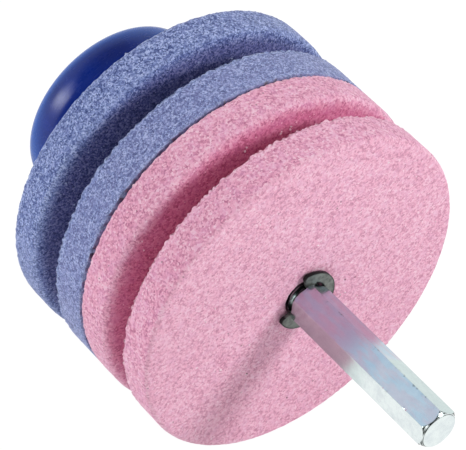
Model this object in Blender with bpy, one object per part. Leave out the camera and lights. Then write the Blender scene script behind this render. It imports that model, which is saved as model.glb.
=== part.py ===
"""Rotary sharpening stone for a power drill.

Two grooved abrasive wheels are clamped on a hexagonal drive shaft, and a plastic guide knob turns freely on
the shaft's rear journal. The tool lies on the rims of its wheels: +Z is up, the spin axis is the world Y
axis, the shank points along -Y, and the origin is on the axis, midway along the whole length.

Every mesh is written in stations: its Y coordinate is the distance from the tip of the shank. One empty
carries all pieces back so that the middle of the length lies at the origin. All sizes are in metres.
"""
import math

import bmesh
import bpy
from mathutils import Matrix, Vector

MM = 0.001

# Clearances
SEAT_GAP = 0.25 * MM
BORE_GAP = 0.25 * MM
RUNNING_GAP = 0.15 * MM
TURNING_GAP = 0.70 * MM
FRONT_CLIP_GAP = 0.35 * MM

# Drive shaft, turned in steps from hexagonal bar
HEX_ACROSS_FLATS = 6.0 * MM
HEX_CLOCKING = math.radians(21.3)
SHANK_REACH = 31.4 * MM
TIP_FACE_INSET = 0.15 * MM
TIP_CHAMFER_LENGTH = 0.75 * MM
SHOULDER_EDGE_INSET = 0.20 * MM
SHOULDER_CHAMFER_LENGTH = 0.25 * MM
BODY_STEP = 0.20 * MM
THREAD_STEP = 0.30 * MM
JOURNAL_STEP = 0.50 * MM
FRONT_GROOVE_DEPTH = 0.50 * MM
END_GROOVE_DEPTH = 0.45 * MM
GROOVE_PLAY = 0.20 * MM
THREAD_RUN_IN = 1.0 * MM
SHAFT_END_REACH = 0.8 * MM
SHAFT_END_CHAMFER = 0.4 * MM

# Abrasive wheels
STONE_DIAMETER = 56.4 * MM
FINE_FRONT_LAND = 6.0 * MM
FINE_GROOVE_MOUTH = 4.6 * MM
FINE_REAR_LAND = 5.8 * MM
COARSE_FRONT_LAND = 6.4 * MM
COARSE_GROOVE_MOUTH = 5.4 * MM
COARSE_REAR_LAND = 5.5 * MM
STONE_GROOVE_DEPTH = 8.0 * MM
STONE_GROOVE_ROOT = 1.0 * MM
STONE_EDGE_RADIUS = 0.3 * MM

# Retaining clips, stamped from spring steel
FRONT_CLIP_DIAMETER = 10.2 * MM
FRONT_CLIP_THICKNESS = 0.6 * MM
END_CLIP_DIAMETER = 7.3 * MM
END_CLIP_THICKNESS = 0.6 * MM
CLIP_CLOCKING = math.radians(56.5)
CLIP_THROAT_SHARE = 0.84
CLIP_RELIEF_SHARE = 0.34
CLIP_LOBE_SHARE = 0.14
CLIP_LOBE_ANGLE = math.radians(60.5)
CLIP_RELIEF_START = math.radians(82)
CLIP_RELIEF_END = math.radians(148)
CLIP_RELIEF_FLARE = math.radians(6)

# Clamping hardware behind the wheels
BLOTTER_DIAMETER = 16.0 * MM
BLOTTER_THICKNESS = 0.5 * MM
CLAMP_WASHER_DIAMETER = 15.0 * MM
CLAMP_WASHER_THICKNESS = 1.0 * MM
SPRING_WASHER_WIDTH = 1.8 * MM
SPRING_WASHER_THICKNESS = 1.2 * MM
SPRING_WASHER_SPLIT = math.radians(12)
NUT_ACROSS_FLATS = 8.0 * MM
NUT_THICKNESS = 2.7 * MM
NUT_CHAMFER = 0.5 * MM
THRUST_WASHER_WIDTH = 2.4 * MM
THRUST_WASHER_THICKNESS = 0.5 * MM

# Flanged bushes of the knob
BUSH_WALL = 0.85 * MM
BUSH_FLANGE_WIDTH = 1.3 * MM
BUSH_FLANGE_THICKNESS = 0.7 * MM
BUSH_BARREL_LENGTH = 2.8 * MM

# Guide knob
KNOB_RIM_DIAMETER = 31.2 * MM
KNOB_RIM_STATION = 13.9 * MM
KNOB_RIM_ROUNDING = 2.2 * MM
KNOB_FLARE_ANGLE = math.radians(62)
KNOB_NECK_WALL = 3.3 * MM
KNOB_NECK_COLLAR = 0.9 * MM
KNOB_NECK_ROUNDING = 0.5 * MM
KNOB_HUB_LENGTH = 6.0 * MM
KNOB_HUB_WALL = 1.8 * MM
KNOB_WEB = 2.0 * MM
KNOB_WALL = 3.4 * MM
KNOB_FLOOR_RISE = 1.8 * MM
KNOB_FLOOR_SHARE = 0.78
KNOB_RIB_WIDTH = 1.6 * MM
KNOB_RIB_DROP = 1.2 * MM
KNOB_RIB_ROOT = 0.4 * MM
KNOB_RIB_COUNT = 4
CAP_WALL = 1.8 * MM
CAP_HEADROOM = 0.6 * MM
CAP_LEDGE = 1.0 * MM
CAP_EDGE = 0.9 * MM
CAP_SKIRT_LENGTH = 1.8 * MM
CAP_SKIRT_WALL = 1.2 * MM

# How finely round shapes are drawn
STONE_SEGMENTS = 48
SHAFT_SEGMENTS = 36
KNOB_SEGMENTS = 48
EDGE_STEPS = 3
FLARE_STEPS = 6
RIM_STEPS = 5
DOME_STEPS = 2
CAP_STEPS = 5
HEX_CORNERS = 6
SMOOTH_LIMIT = math.radians(32)
WELD_DISTANCE = 0.001 * MM
CUT_OVERRUN = 1.0 * MM

# Colours as they read in the photograph (sRGB, 0 to 255), with roughness and metallic value
FINISHES = {
    "plated_steel": ((196, 204, 208), 0.22, 1.0),
    "dark_spring_steel": ((92, 98, 94), 0.45, 0.9),
    "pink_abrasive": ((220, 164, 187), 0.95, 0.0),
    "blue_abrasive": ((121, 139, 186), 0.95, 0.0),
    "fibre_board": ((120, 92, 66), 0.9, 0.0),
    "white_nylon": ((226, 224, 214), 0.5, 0.0),
    "blue_plastic": ((20, 62, 160), 0.2, 0.0),
}


def follow(previous_back, length, gap=SEAT_GAP):
    """Front and back stations of a piece that stands one gap behind the face before it."""
    front = previous_back + gap
    return front, front + length


# Radii of the shaft's steps and of what runs on them
HEX_APOTHEM = HEX_ACROSS_FLATS / 2
HEX_CORNER_RADIUS = HEX_APOTHEM / math.cos(math.pi / HEX_CORNERS)
BODY_RADIUS = HEX_APOTHEM - BODY_STEP
THREAD_RADIUS = BODY_RADIUS - THREAD_STEP
JOURNAL_RADIUS = THREAD_RADIUS - JOURNAL_STEP
FRONT_GROOVE_RADIUS = BODY_RADIUS - FRONT_GROOVE_DEPTH
END_GROOVE_RADIUS = JOURNAL_RADIUS - END_GROOVE_DEPTH
STONE_RADIUS = STONE_DIAMETER / 2
STONE_BORE_RADIUS = BODY_RADIUS + BORE_GAP
THREAD_BORE_RADIUS = THREAD_RADIUS + BORE_GAP
JOURNAL_BORE_RADIUS = JOURNAL_RADIUS + RUNNING_GAP
BUSH_RADIUS = JOURNAL_BORE_RADIUS + BUSH_WALL
BUSH_FLANGE_RADIUS = BUSH_RADIUS + BUSH_FLANGE_WIDTH
HUB_BORE_RADIUS = BUSH_RADIUS + BORE_GAP
HUB_RADIUS = HUB_BORE_RADIUS + KNOB_HUB_WALL
NUT_APOTHEM = NUT_ACROSS_FLATS / 2
NUT_CORNER_RADIUS = NUT_APOTHEM / math.cos(math.pi / HEX_CORNERS)

# Stations along the shaft, from the tip of the shank
FINE_FRONT = SHANK_REACH
FINE_BACK = FINE_FRONT + FINE_FRONT_LAND + FINE_GROOVE_MOUTH + FINE_REAR_LAND
COARSE_FRONT = FINE_BACK + SEAT_GAP
COARSE_BACK = COARSE_FRONT + COARSE_FRONT_LAND + COARSE_GROOVE_MOUTH + COARSE_REAR_LAND
FRONT_CLIP = (FINE_FRONT - FRONT_CLIP_GAP - FRONT_CLIP_THICKNESS, FINE_FRONT - FRONT_CLIP_GAP)
HEX_SHOULDER = FRONT_CLIP[0] - GROOVE_PLAY
BODY_FRONT = FRONT_CLIP[1] + GROOVE_PLAY
THREAD_FRONT = COARSE_BACK - THREAD_RUN_IN
BLOTTER = follow(COARSE_BACK, BLOTTER_THICKNESS)
CLAMP_WASHER = follow(BLOTTER[1], CLAMP_WASHER_THICKNESS)
SPRING_WASHER = follow(CLAMP_WASHER[1], SPRING_WASHER_THICKNESS)
CLAMP_NUT = follow(SPRING_WASHER[1], NUT_THICKNESS)
NUT_THRUST_WASHER = follow(CLAMP_NUT[1], THRUST_WASHER_THICKNESS)
FRONT_BUSH_FLANGE = follow(NUT_THRUST_WASHER[1], BUSH_FLANGE_THICKNESS)
HUB_FRONT = FRONT_BUSH_FLANGE[1] + SEAT_GAP
HUB_BACK = HUB_FRONT + KNOB_HUB_LENGTH
REAR_BUSH_FLANGE = follow(HUB_BACK, BUSH_FLANGE_THICKNESS)
END_THRUST_WASHER = follow(REAR_BUSH_FLANGE[1], THRUST_WASHER_THICKNESS)
END_CLIP = follow(END_THRUST_WASHER[1], END_CLIP_THICKNESS)
SHAFT_END = END_CLIP[1] + SHAFT_END_REACH
KNOB_FRONT = CLAMP_WASHER[1] + TURNING_GAP
KNOB_RIM = COARSE_BACK + KNOB_RIM_STATION
KNOB_CROWN = SHAFT_END + CAP_HEADROOM + CAP_WALL
OVERALL_LENGTH = KNOB_CROWN

# Radii and curves of the knob
KNOB_RIM_RADIUS = KNOB_RIM_DIAMETER / 2
KNOB_RIM_CENTRE = KNOB_RIM_RADIUS - KNOB_RIM_ROUNDING
POCKET_RADIUS = max(NUT_CORNER_RADIUS, BUSH_FLANGE_RADIUS) + TURNING_GAP
NECK_RADIUS = POCKET_RADIUS + KNOB_NECK_WALL
CAVITY_RADIUS = KNOB_RIM_RADIUS - KNOB_WALL
CAP_RADIUS = CAVITY_RADIUS + CAP_LEDGE
CAVITY_FLOOR_RADIUS = CAVITY_RADIUS * KNOB_FLOOR_SHARE
CAVITY_FLOOR = HUB_FRONT + KNOB_WEB
# The knob's back is a shallow ball that meets the rim's rounding smoothly and ends at the crown.
BACK_RISE = KNOB_CROWN - KNOB_RIM
BACK_BALL_RADIUS = (BACK_RISE ** 2 + KNOB_RIM_CENTRE ** 2 - KNOB_RIM_ROUNDING ** 2) / (
    2 * (BACK_RISE - KNOB_RIM_ROUNDING))
BACK_BALL_STATION = KNOB_CROWN - BACK_BALL_RADIUS
BACK_TANGENT = math.asin(KNOB_RIM_CENTRE / (BACK_BALL_RADIUS - KNOB_RIM_ROUNDING))


def arc(centre_station, centre_radius, size, start, end, steps):
    """Points on an arc in the outline's plane: angle 0 points outwards and a right angle backwards."""
    turns = (start + (end - start) * step / steps for step in range(steps + 1))
    return [(centre_station + size * math.sin(turn), centre_radius + size * math.cos(turn)) for turn in turns]


def in_section(radius, clock):
    """A point of a cross-section, at a radius and an angle from +Z towards -X, as (x, z)."""
    return -radius * math.sin(clock), radius * math.cos(clock)


def finish(name):
    """The Principled material of one finish, made on first use."""
    known = bpy.data.materials.get(name)
    if known:
        return known
    colour, roughness, metallic = FINISHES[name]
    material = bpy.data.materials.new(name)
    material.use_nodes = True
    shader = material.node_tree.nodes["Principled BSDF"]
    linear = [((channel / 255 + 0.055) / 1.055) ** 2.4 for channel in colour]
    shader.inputs["Base Color"].default_value = (*linear, 1.0)
    shader.inputs["Roughness"].default_value = roughness
    shader.inputs["Metallic"].default_value = metallic
    material.diffuse_color = (*linear, 1.0)
    return material


def to_object(name, bm, finish_name=None):
    """Turn an edited mesh into a named object with outward faces and smooth round sides."""
    bmesh.ops.recalc_face_normals(bm, faces=bm.faces)
    mesh = bpy.data.meshes.new(name)
    bm.to_mesh(mesh)
    bm.free()
    mesh.shade_smooth()
    mesh.set_sharp_from_angle(angle=SMOOTH_LIMIT)
    piece = bpy.data.objects.new(name, mesh)
    bpy.context.scene.collection.objects.link(piece)
    if finish_name:
        mesh.materials.append(finish(finish_name))
    return piece


def turned(name, outline, segments, finish_name=None):
    """A turned solid: an outline of (station, radius) points, spun once round the Y axis.

    An outline that starts and ends on the axis is closed by the axis itself. The first copy stands half a
    step from +X, so that a flat of the finished solid faces straight down.
    """
    bm = bmesh.new()
    clock = math.pi / segments
    points = [bm.verts.new((radius * math.cos(clock), station, radius * math.sin(clock)))
              for station, radius in outline]
    edges = [bm.edges.new(pair) for pair in zip(points, points[1:])]
    if outline[0][1] > 0:
        edges.append(bm.edges.new((points[-1], points[0])))
    bmesh.ops.spin(bm, geom=points + edges, cent=(0, 0, 0), axis=(0, 1, 0), angle=2 * math.pi,
                   steps=segments, use_merge=True)
    bmesh.ops.remove_doubles(bm, verts=bm.verts, dist=WELD_DISTANCE)
    return to_object(name, bm, finish_name)


def grow(bm, face, length):
    """Extrude a face backwards along Y into a solid."""
    grown = bmesh.ops.extrude_face_region(bm, geom=[face])["geom"]
    moved = [item for item in grown if isinstance(item, bmesh.types.BMVert)]
    bmesh.ops.translate(bm, verts=moved, vec=(0, length, 0))


def extruded(name, section, span, finish_name=None):
    """A flat (x, z) section, carried along Y from the front to the back station of the span."""
    bm = bmesh.new()
    front, back = span
    face = bm.faces.new([bm.verts.new((x, front, z)) for x, z in section])
    grow(bm, face, back - front)
    return to_object(name, bm, finish_name)


def hexagon(corner_radius, clock):
    """The section of hexagonal bar, with the normal of one flat at the given clock angle."""
    step = 2 * math.pi / HEX_CORNERS
    return [in_section(corner_radius, clock + step * (corner + 1 / 2)) for corner in range(HEX_CORNERS)]


def cut(piece, operation, tool):
    """Keep a live Boolean between a piece and a hidden tool body."""
    modifier = piece.modifiers.new(tool.name, "BOOLEAN")
    modifier.operation = operation
    modifier.solver = "EXACT"
    modifier.object = tool
    tool.hide_render = True
    tool.display_type = "WIRE"
    tool.parent = piece


def ring_outline(span, inner, outer):
    """The outline of a plain washer."""
    front, back = span
    return [(front, inner), (front, outer), (back, outer), (back, inner)]


def build_drive_shaft():
    """Hexagonal bar with a chamfered tip, turned down behind the shoulder in four steps."""
    clear_of_corners = HEX_CORNER_RADIUS + CUT_OVERRUN
    tip_radius = HEX_APOTHEM - TIP_FACE_INSET
    shoulder_radius = HEX_CORNER_RADIUS - SHOULDER_EDGE_INSET
    end_groove_front = END_CLIP[0] - GROOVE_PLAY
    end_groove_back = END_CLIP[1] + GROOVE_PLAY
    end_radius = JOURNAL_RADIUS - SHAFT_END_CHAMFER
    lathe_path = [
        (0, 0), (0, tip_radius),
        (TIP_CHAMFER_LENGTH, HEX_CORNER_RADIUS),
        (TIP_CHAMFER_LENGTH, clear_of_corners),
        (HEX_SHOULDER - SHOULDER_CHAMFER_LENGTH, clear_of_corners),
        (HEX_SHOULDER - SHOULDER_CHAMFER_LENGTH, HEX_CORNER_RADIUS),
        (HEX_SHOULDER, shoulder_radius), (HEX_SHOULDER, FRONT_GROOVE_RADIUS),
        (BODY_FRONT, FRONT_GROOVE_RADIUS), (BODY_FRONT, BODY_RADIUS),
        (THREAD_FRONT, BODY_RADIUS), (THREAD_FRONT, THREAD_RADIUS),
        (CLAMP_NUT[1], THREAD_RADIUS), (CLAMP_NUT[1], JOURNAL_RADIUS),
        (end_groove_front, JOURNAL_RADIUS), (end_groove_front, END_GROOVE_RADIUS),
        (end_groove_back, END_GROOVE_RADIUS), (end_groove_back, JOURNAL_RADIUS),
        (SHAFT_END - SHAFT_END_CHAMFER, JOURNAL_RADIUS), (SHAFT_END, end_radius), (SHAFT_END, 0),
    ]
    bar_span = (-CUT_OVERRUN, SHAFT_END + CUT_OVERRUN)
    bar = extruded("drive_shaft", hexagon(HEX_CORNER_RADIUS, HEX_CLOCKING), bar_span, "plated_steel")
    cut(bar, "INTERSECT", turned("shaft_turning", lathe_path, SHAFT_SEGMENTS))
    return bar


def build_stone(name, front, front_land, mouth, rear_land, finish_name):
    """A wheel with one V groove between two lands, every outer edge rounded a little."""
    land_end = front + front_land
    land_start = land_end + mouth
    back = land_start + rear_land
    root_radius = STONE_RADIUS - STONE_GROOVE_DEPTH
    middle = (land_end + land_start) / 2
    root_front = middle - STONE_GROOVE_ROOT / 2
    root_back = middle + STONE_GROOVE_ROOT / 2
    wall_angle = math.atan2((mouth - STONE_GROOVE_ROOT) / 2, STONE_GROOVE_DEPTH)
    edge = STONE_EDGE_RADIUS
    edge_radius = STONE_RADIUS - edge
    square = math.pi / 2
    # A rounding of the same size ends further in on the groove's wall, which leans.
    lip = edge * math.tan((square - wall_angle) / 2)
    outline = [(front, STONE_BORE_RADIUS)]
    outline += arc(front + edge, edge_radius, edge, -square, 0, EDGE_STEPS)
    outline += arc(land_end - lip, edge_radius, edge, 0, square - wall_angle, EDGE_STEPS)
    outline += [(root_front, root_radius), (root_back, root_radius)]
    outline += arc(land_start + lip, edge_radius, edge, wall_angle - square, 0, EDGE_STEPS)
    outline += arc(back - edge, edge_radius, edge, 0, square, EDGE_STEPS)
    outline.append((back, STONE_BORE_RADIUS))
    return turned(name, outline, STONE_SEGMENTS, finish_name)


def clip_section(outer, grip, clock):
    """The stamped shape of an E clip: a mouth between two lobes, three grips and two reliefs."""
    throat = grip * CLIP_THROAT_SHARE
    throat_turn = math.asin(CLIP_THROAT_SHARE)
    relief = grip + (outer - grip) * CLIP_RELIEF_SHARE
    lobe = outer * CLIP_LOBE_SHARE
    lobe_centre = Vector((math.cos(CLIP_LOBE_ANGLE), math.sin(CLIP_LOBE_ANGLE))) * (outer - lobe)
    throat_point = Vector((grip * math.cos(throat_turn), throat))
    reach = lobe_centre - throat_point
    mouth_turn = math.atan2(reach.y, reach.x) - math.asin(lobe / reach.length)
    lobe_start = mouth_turn - math.pi / 2

    half = [throat_point]
    for step in range(EDGE_STEPS + 1):
        turn = lobe_start + (CLIP_LOBE_ANGLE - lobe_start) * step / EDGE_STEPS
        half.append(lobe_centre + lobe * Vector((math.cos(turn), math.sin(turn))))
    outer_steps = SHAFT_SEGMENTS // 3
    for step in range(1, outer_steps):
        turn = CLIP_LOBE_ANGLE + (math.pi - CLIP_LOBE_ANGLE) * step / outer_steps
        half.append(outer * Vector((math.cos(turn), math.sin(turn))))
    inner = []
    relief_start = CLIP_RELIEF_START + CLIP_RELIEF_FLARE
    relief_end = CLIP_RELIEF_END - CLIP_RELIEF_FLARE
    for radius, start, end in ((grip, throat_turn, CLIP_RELIEF_START), (relief, relief_start, relief_end),
                               (grip, CLIP_RELIEF_END, math.pi)):
        for step in range(EDGE_STEPS + 1):
            turn = start + (end - start) * step / EDGE_STEPS
            inner.append(radius * Vector((math.cos(turn), math.sin(turn))))
    outside = half + [Vector((-outer, 0))] + [Vector((point.x, -point.y)) for point in reversed(half)]
    inside = [Vector((point.x, -point.y)) for point in inner[1:]] + list(reversed(inner[1:-1]))
    return [in_section(point.length, clock + math.atan2(point.y, point.x)) for point in outside + inside]


def build_clips():
    """The clip at the shoulder of the hexagon and the smaller one at the end of the journal."""
    front_section = clip_section(FRONT_CLIP_DIAMETER / 2, FRONT_GROOVE_RADIUS + GROOVE_PLAY, CLIP_CLOCKING)
    end_section = clip_section(END_CLIP_DIAMETER / 2, END_GROOVE_RADIUS + GROOVE_PLAY, CLIP_CLOCKING)
    return [extruded("front_retaining_clip", front_section, FRONT_CLIP, "dark_spring_steel"),
            extruded("end_retaining_clip", end_section, END_CLIP, "dark_spring_steel")]


def build_spring_washer():
    """A split lock washer, drawn flat as the nut holds it."""
    inner = THREAD_BORE_RADIUS
    outer = inner + SPRING_WASHER_WIDTH
    half_split = SPRING_WASHER_SPLIT / 2
    turns = [half_split + (2 * math.pi - SPRING_WASHER_SPLIT) * step / SHAFT_SEGMENTS
             for step in range(SHAFT_SEGMENTS + 1)]
    section = [in_section(outer, turn) for turn in turns]
    section += [in_section(inner, turn) for turn in reversed(turns)]
    return extruded("spring_washer", section, SPRING_WASHER, "plated_steel")


def build_clamp_nut():
    """A hexagonal nut, chamfered on both faces and bored to clear the shaft."""
    front, back = CLAMP_NUT
    overrun = CUT_OVERRUN
    rise = NUT_CORNER_RADIUS - NUT_APOTHEM
    lathe_path = [
        (front, THREAD_BORE_RADIUS), (front, NUT_APOTHEM),
        (front + NUT_CHAMFER, NUT_APOTHEM + rise), (front + NUT_CHAMFER, NUT_CORNER_RADIUS + overrun),
        (back - NUT_CHAMFER, NUT_CORNER_RADIUS + overrun), (back - NUT_CHAMFER, NUT_APOTHEM + rise),
        (back, NUT_APOTHEM), (back, THREAD_BORE_RADIUS),
    ]
    bar_span = (front - overrun, back + overrun)
    nut = extruded("clamp_nut", hexagon(NUT_CORNER_RADIUS, HEX_CLOCKING), bar_span, "plated_steel")
    cut(nut, "INTERSECT", turned("nut_turning", lathe_path, SHAFT_SEGMENTS))
    return nut


def build_washers():
    """The plain round pieces that sit still on the shaft."""
    thrust_radius = JOURNAL_BORE_RADIUS + THRUST_WASHER_WIDTH
    plain = (
        ("rear_blotter", BLOTTER, THREAD_BORE_RADIUS, BLOTTER_DIAMETER / 2, "fibre_board"),
        ("clamp_washer", CLAMP_WASHER, THREAD_BORE_RADIUS, CLAMP_WASHER_DIAMETER / 2, "plated_steel"),
        ("nut_thrust_washer", NUT_THRUST_WASHER, JOURNAL_BORE_RADIUS, thrust_radius, "white_nylon"),
        ("end_thrust_washer", END_THRUST_WASHER, JOURNAL_BORE_RADIUS, thrust_radius, "white_nylon"),
    )
    return [turned(name, ring_outline(span, inner, outer), SHAFT_SEGMENTS, finish_name)
            for name, span, inner, outer, finish_name in plain]


def build_bush(name, flange, barrel_end):
    """A flanged bush. Its barrel runs from the flange to the given station, in either direction."""
    front, back = flange
    hub_face, outer_face = (back, front) if barrel_end > back else (front, back)
    outline = [
        (outer_face, JOURNAL_BORE_RADIUS), (outer_face, BUSH_FLANGE_RADIUS), (hub_face, BUSH_FLANGE_RADIUS),
        (hub_face, BUSH_RADIUS), (barrel_end, BUSH_RADIUS), (barrel_end, JOURNAL_BORE_RADIUS),
    ]
    return turned(name, outline, SHAFT_SEGMENTS, "white_nylon")


def back_station(radius):
    """Station of the knob's back at a radius within the ball."""
    return BACK_BALL_STATION + math.sqrt(BACK_BALL_RADIUS ** 2 - radius ** 2)


def back_curve(start, end, steps):
    """Points on the ball of the knob's back, between two angles from the spin axis."""
    turns = (start + (end - start) * step / steps for step in range(steps + 1))
    return [(BACK_BALL_STATION + BACK_BALL_RADIUS * math.cos(turn), BACK_BALL_RADIUS * math.sin(turn))
            for turn in turns]


def build_knob_shell():
    """The moulded knob: neck, concave flare, round rim and ball back; pocket, hub and cavity inside."""
    flare_start = KNOB_FRONT + KNOB_NECK_COLLAR
    flare_end = KNOB_RIM - KNOB_RIM_ROUNDING * math.sin(KNOB_FLARE_ANGLE)
    flare_rise = KNOB_RIM_CENTRE + KNOB_RIM_ROUNDING * math.cos(KNOB_FLARE_ANGLE) - NECK_RADIUS
    # The flare rises as a power of the distance, and meets the rim's rounding at the same slope.
    power = math.tan(KNOB_FLARE_ANGLE) * (flare_end - flare_start) / flare_rise
    square = math.pi / 2
    ledge = back_station(CAP_RADIUS) - CAP_EDGE
    ledge_turn = math.asin(CAP_RADIUS / BACK_BALL_RADIUS)

    outline = [(HUB_FRONT, HUB_BORE_RADIUS), (HUB_FRONT, POCKET_RADIUS), (KNOB_FRONT, POCKET_RADIUS)]
    outline += arc(KNOB_FRONT + KNOB_NECK_ROUNDING, NECK_RADIUS - KNOB_NECK_ROUNDING, KNOB_NECK_ROUNDING,
                   -square, 0, EDGE_STEPS)
    for step in range(FLARE_STEPS):
        share = step / FLARE_STEPS
        rise = flare_rise * share ** power
        outline.append((flare_start + (flare_end - flare_start) * share, NECK_RADIUS + rise))
    outline += arc(KNOB_RIM, KNOB_RIM_CENTRE, KNOB_RIM_ROUNDING, -KNOB_FLARE_ANGLE, 0, RIM_STEPS)
    outline += arc(KNOB_RIM, KNOB_RIM_CENTRE, KNOB_RIM_ROUNDING, 0, square - BACK_TANGENT, RIM_STEPS)[1:]
    outline += back_curve(BACK_TANGENT, ledge_turn, DOME_STEPS)[1:]
    outline += [
        (ledge, CAP_RADIUS), (ledge, CAVITY_RADIUS), (CAVITY_FLOOR + KNOB_FLOOR_RISE, CAVITY_RADIUS),
        (CAVITY_FLOOR, CAVITY_FLOOR_RADIUS), (CAVITY_FLOOR, HUB_RADIUS),
        (HUB_BACK, HUB_RADIUS), (HUB_BACK, HUB_BORE_RADIUS),
    ]
    shell = turned("knob_shell", outline, KNOB_SEGMENTS, "blue_plastic")
    cut(shell, "UNION", build_ribs())
    return shell


def build_ribs():
    """Radial ribs that tie the hub to the outer wall inside the knob's cavity, along its sloping floor."""
    bm = bmesh.new()
    inner = HUB_RADIUS - KNOB_RIB_ROOT
    outer = CAVITY_RADIUS + KNOB_RIB_ROOT
    front = CAVITY_FLOOR - KNOB_RIB_ROOT
    back = HUB_BACK - KNOB_RIB_DROP
    half = KNOB_RIB_WIDTH / 2
    outline = [
        (front, inner), (front, CAVITY_FLOOR_RADIUS), (CAVITY_FLOOR + KNOB_FLOOR_RISE, outer),
        (back, outer), (back, inner),
    ]
    for rib in range(KNOB_RIB_COUNT):
        turn = Matrix.Rotation(2 * math.pi * rib / KNOB_RIB_COUNT, 4, "Y")
        near, far = ([bm.verts.new(turn @ Vector((x, station, radius))) for station, radius in outline]
                     for x in (-half, half))
        bm.faces.new(near)
        bm.faces.new(far)
        for corner in range(len(outline)):
            bm.faces.new((near[corner - 1], near[corner], far[corner], far[corner - 1]))
    return to_object("knob_ribs", bm)


def build_knob_cap():
    """A domed cap that carries the knob's back on to the crown, with a skirt that plugs the cavity."""
    rim = CAP_RADIUS - BORE_GAP
    seat = back_station(CAP_RADIUS) - CAP_EDGE + SEAT_GAP
    skirt_outer = CAVITY_RADIUS - BORE_GAP
    skirt_inner = skirt_outer - CAP_SKIRT_WALL
    skirt_end = seat - CAP_SKIRT_LENGTH
    inner_ball = BACK_BALL_RADIUS - CAP_WALL
    outline = back_curve(0, math.asin(rim / BACK_BALL_RADIUS), CAP_STEPS)
    outline += [(seat, rim), (seat, skirt_outer), (skirt_end, skirt_outer), (skirt_end, skirt_inner)]
    for step in range(CAP_STEPS + 1):
        turn = math.asin(skirt_inner / inner_ball) * (1 - step / CAP_STEPS)
        outline.append((BACK_BALL_STATION + inner_ball * math.cos(turn), inner_ball * math.sin(turn)))
    return turned("knob_end_cap", outline, KNOB_SEGMENTS, "blue_plastic")


def carrier(name, parent=None):
    """An empty that carries pieces and lies on the spin axis."""
    empty = bpy.data.objects.new(name, None)
    bpy.context.scene.collection.objects.link(empty)
    empty.parent = parent
    return empty


def main():
    """Build both bodies: the wheels with all that turns with the drill, and the free knob."""
    for leftover in list(bpy.data.objects):
        bpy.data.objects.remove(leftover, do_unlink=True)

    tool = carrier("sharpening_tool")
    tool.location.y = -OVERALL_LENGTH / 2
    knob = carrier("knob_spin_axis", tool)

    driven = [
        build_drive_shaft(),
        build_stone("fine_stone", FINE_FRONT, FINE_FRONT_LAND, FINE_GROOVE_MOUTH, FINE_REAR_LAND,
                    "pink_abrasive"),
        build_stone("coarse_stone", COARSE_FRONT, COARSE_FRONT_LAND, COARSE_GROOVE_MOUTH, COARSE_REAR_LAND,
                    "blue_abrasive"),
        build_spring_washer(),
        build_clamp_nut(),
        *build_clips(),
        *build_washers(),
    ]
    bush_gap = SEAT_GAP / 2
    hub_middle = (HUB_FRONT + HUB_BACK) / 2
    front_barrel_end = min(FRONT_BUSH_FLANGE[1] + BUSH_BARREL_LENGTH, hub_middle - bush_gap)
    rear_barrel_end = max(REAR_BUSH_FLANGE[0] - BUSH_BARREL_LENGTH, hub_middle + bush_gap)
    free = [
        build_knob_shell(),
        build_knob_cap(),
        build_bush("knob_front_bush", FRONT_BUSH_FLANGE, front_barrel_end),
        build_bush("knob_rear_bush", REAR_BUSH_FLANGE, rear_barrel_end),
    ]
    for piece in driven:
        piece.parent = tool
    for piece in free:
        piece.parent = knob


main()
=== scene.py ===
"""Looks of the rotary sharpening stone: sintered wheels, plated shaft, moulded knob, studio and camera.

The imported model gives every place: pieces that are made again here stand exactly where their solids stand.
The tool lies on the rims of its wheels, the spin axis is the world Y axis and the shank points along -Y.
A clock angle is measured round that axis from +Z towards -X. All lengths are in metres.
"""
import logging
import math
from dataclasses import dataclass, field
from enum import Enum
from typing import Any

import bpy
import numpy as np
from mathutils import Matrix, Vector


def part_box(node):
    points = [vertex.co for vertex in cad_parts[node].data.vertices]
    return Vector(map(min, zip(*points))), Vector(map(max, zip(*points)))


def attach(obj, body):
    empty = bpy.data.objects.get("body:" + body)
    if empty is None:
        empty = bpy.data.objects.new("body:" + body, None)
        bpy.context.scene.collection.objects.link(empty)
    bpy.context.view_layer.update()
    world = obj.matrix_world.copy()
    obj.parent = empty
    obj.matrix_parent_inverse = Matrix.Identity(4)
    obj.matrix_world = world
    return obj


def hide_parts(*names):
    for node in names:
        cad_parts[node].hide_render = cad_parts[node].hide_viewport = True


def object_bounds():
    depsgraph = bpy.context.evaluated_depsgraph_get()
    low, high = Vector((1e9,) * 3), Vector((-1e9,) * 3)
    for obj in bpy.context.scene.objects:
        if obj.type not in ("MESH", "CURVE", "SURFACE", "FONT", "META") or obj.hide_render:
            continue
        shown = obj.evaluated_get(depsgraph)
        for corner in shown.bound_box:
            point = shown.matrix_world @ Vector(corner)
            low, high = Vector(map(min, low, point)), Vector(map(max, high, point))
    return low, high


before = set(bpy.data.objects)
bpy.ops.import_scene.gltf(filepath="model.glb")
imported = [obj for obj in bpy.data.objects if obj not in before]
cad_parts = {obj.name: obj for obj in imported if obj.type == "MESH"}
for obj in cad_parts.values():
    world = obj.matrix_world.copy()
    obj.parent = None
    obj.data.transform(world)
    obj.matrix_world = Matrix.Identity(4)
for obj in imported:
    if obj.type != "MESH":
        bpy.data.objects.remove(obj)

MM = 0.001
SMOOTH_LIMIT = math.radians(30)
TURN = 2 * math.pi
QUARTER = math.pi / 2
LOG = logging.getLogger("sharpening_stone")
MODEL_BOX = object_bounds()

Rgb = tuple[int, int, int]
Place = tuple[float, float]
Triple = tuple[float, float, float]


class Slot(Enum):
    """Material slots of the record, one for each kind of finish."""

    PLATED_STEEL = "plated_steel"
    SPRING_STEEL = "dark_spring_steel"
    PINK_ABRASIVE = "pink_abrasive"
    BLUE_ABRASIVE = "blue_abrasive"
    FIBRE = "fibre_board"
    NYLON = "white_nylon"
    PLASTIC = "blue_plastic"


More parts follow.
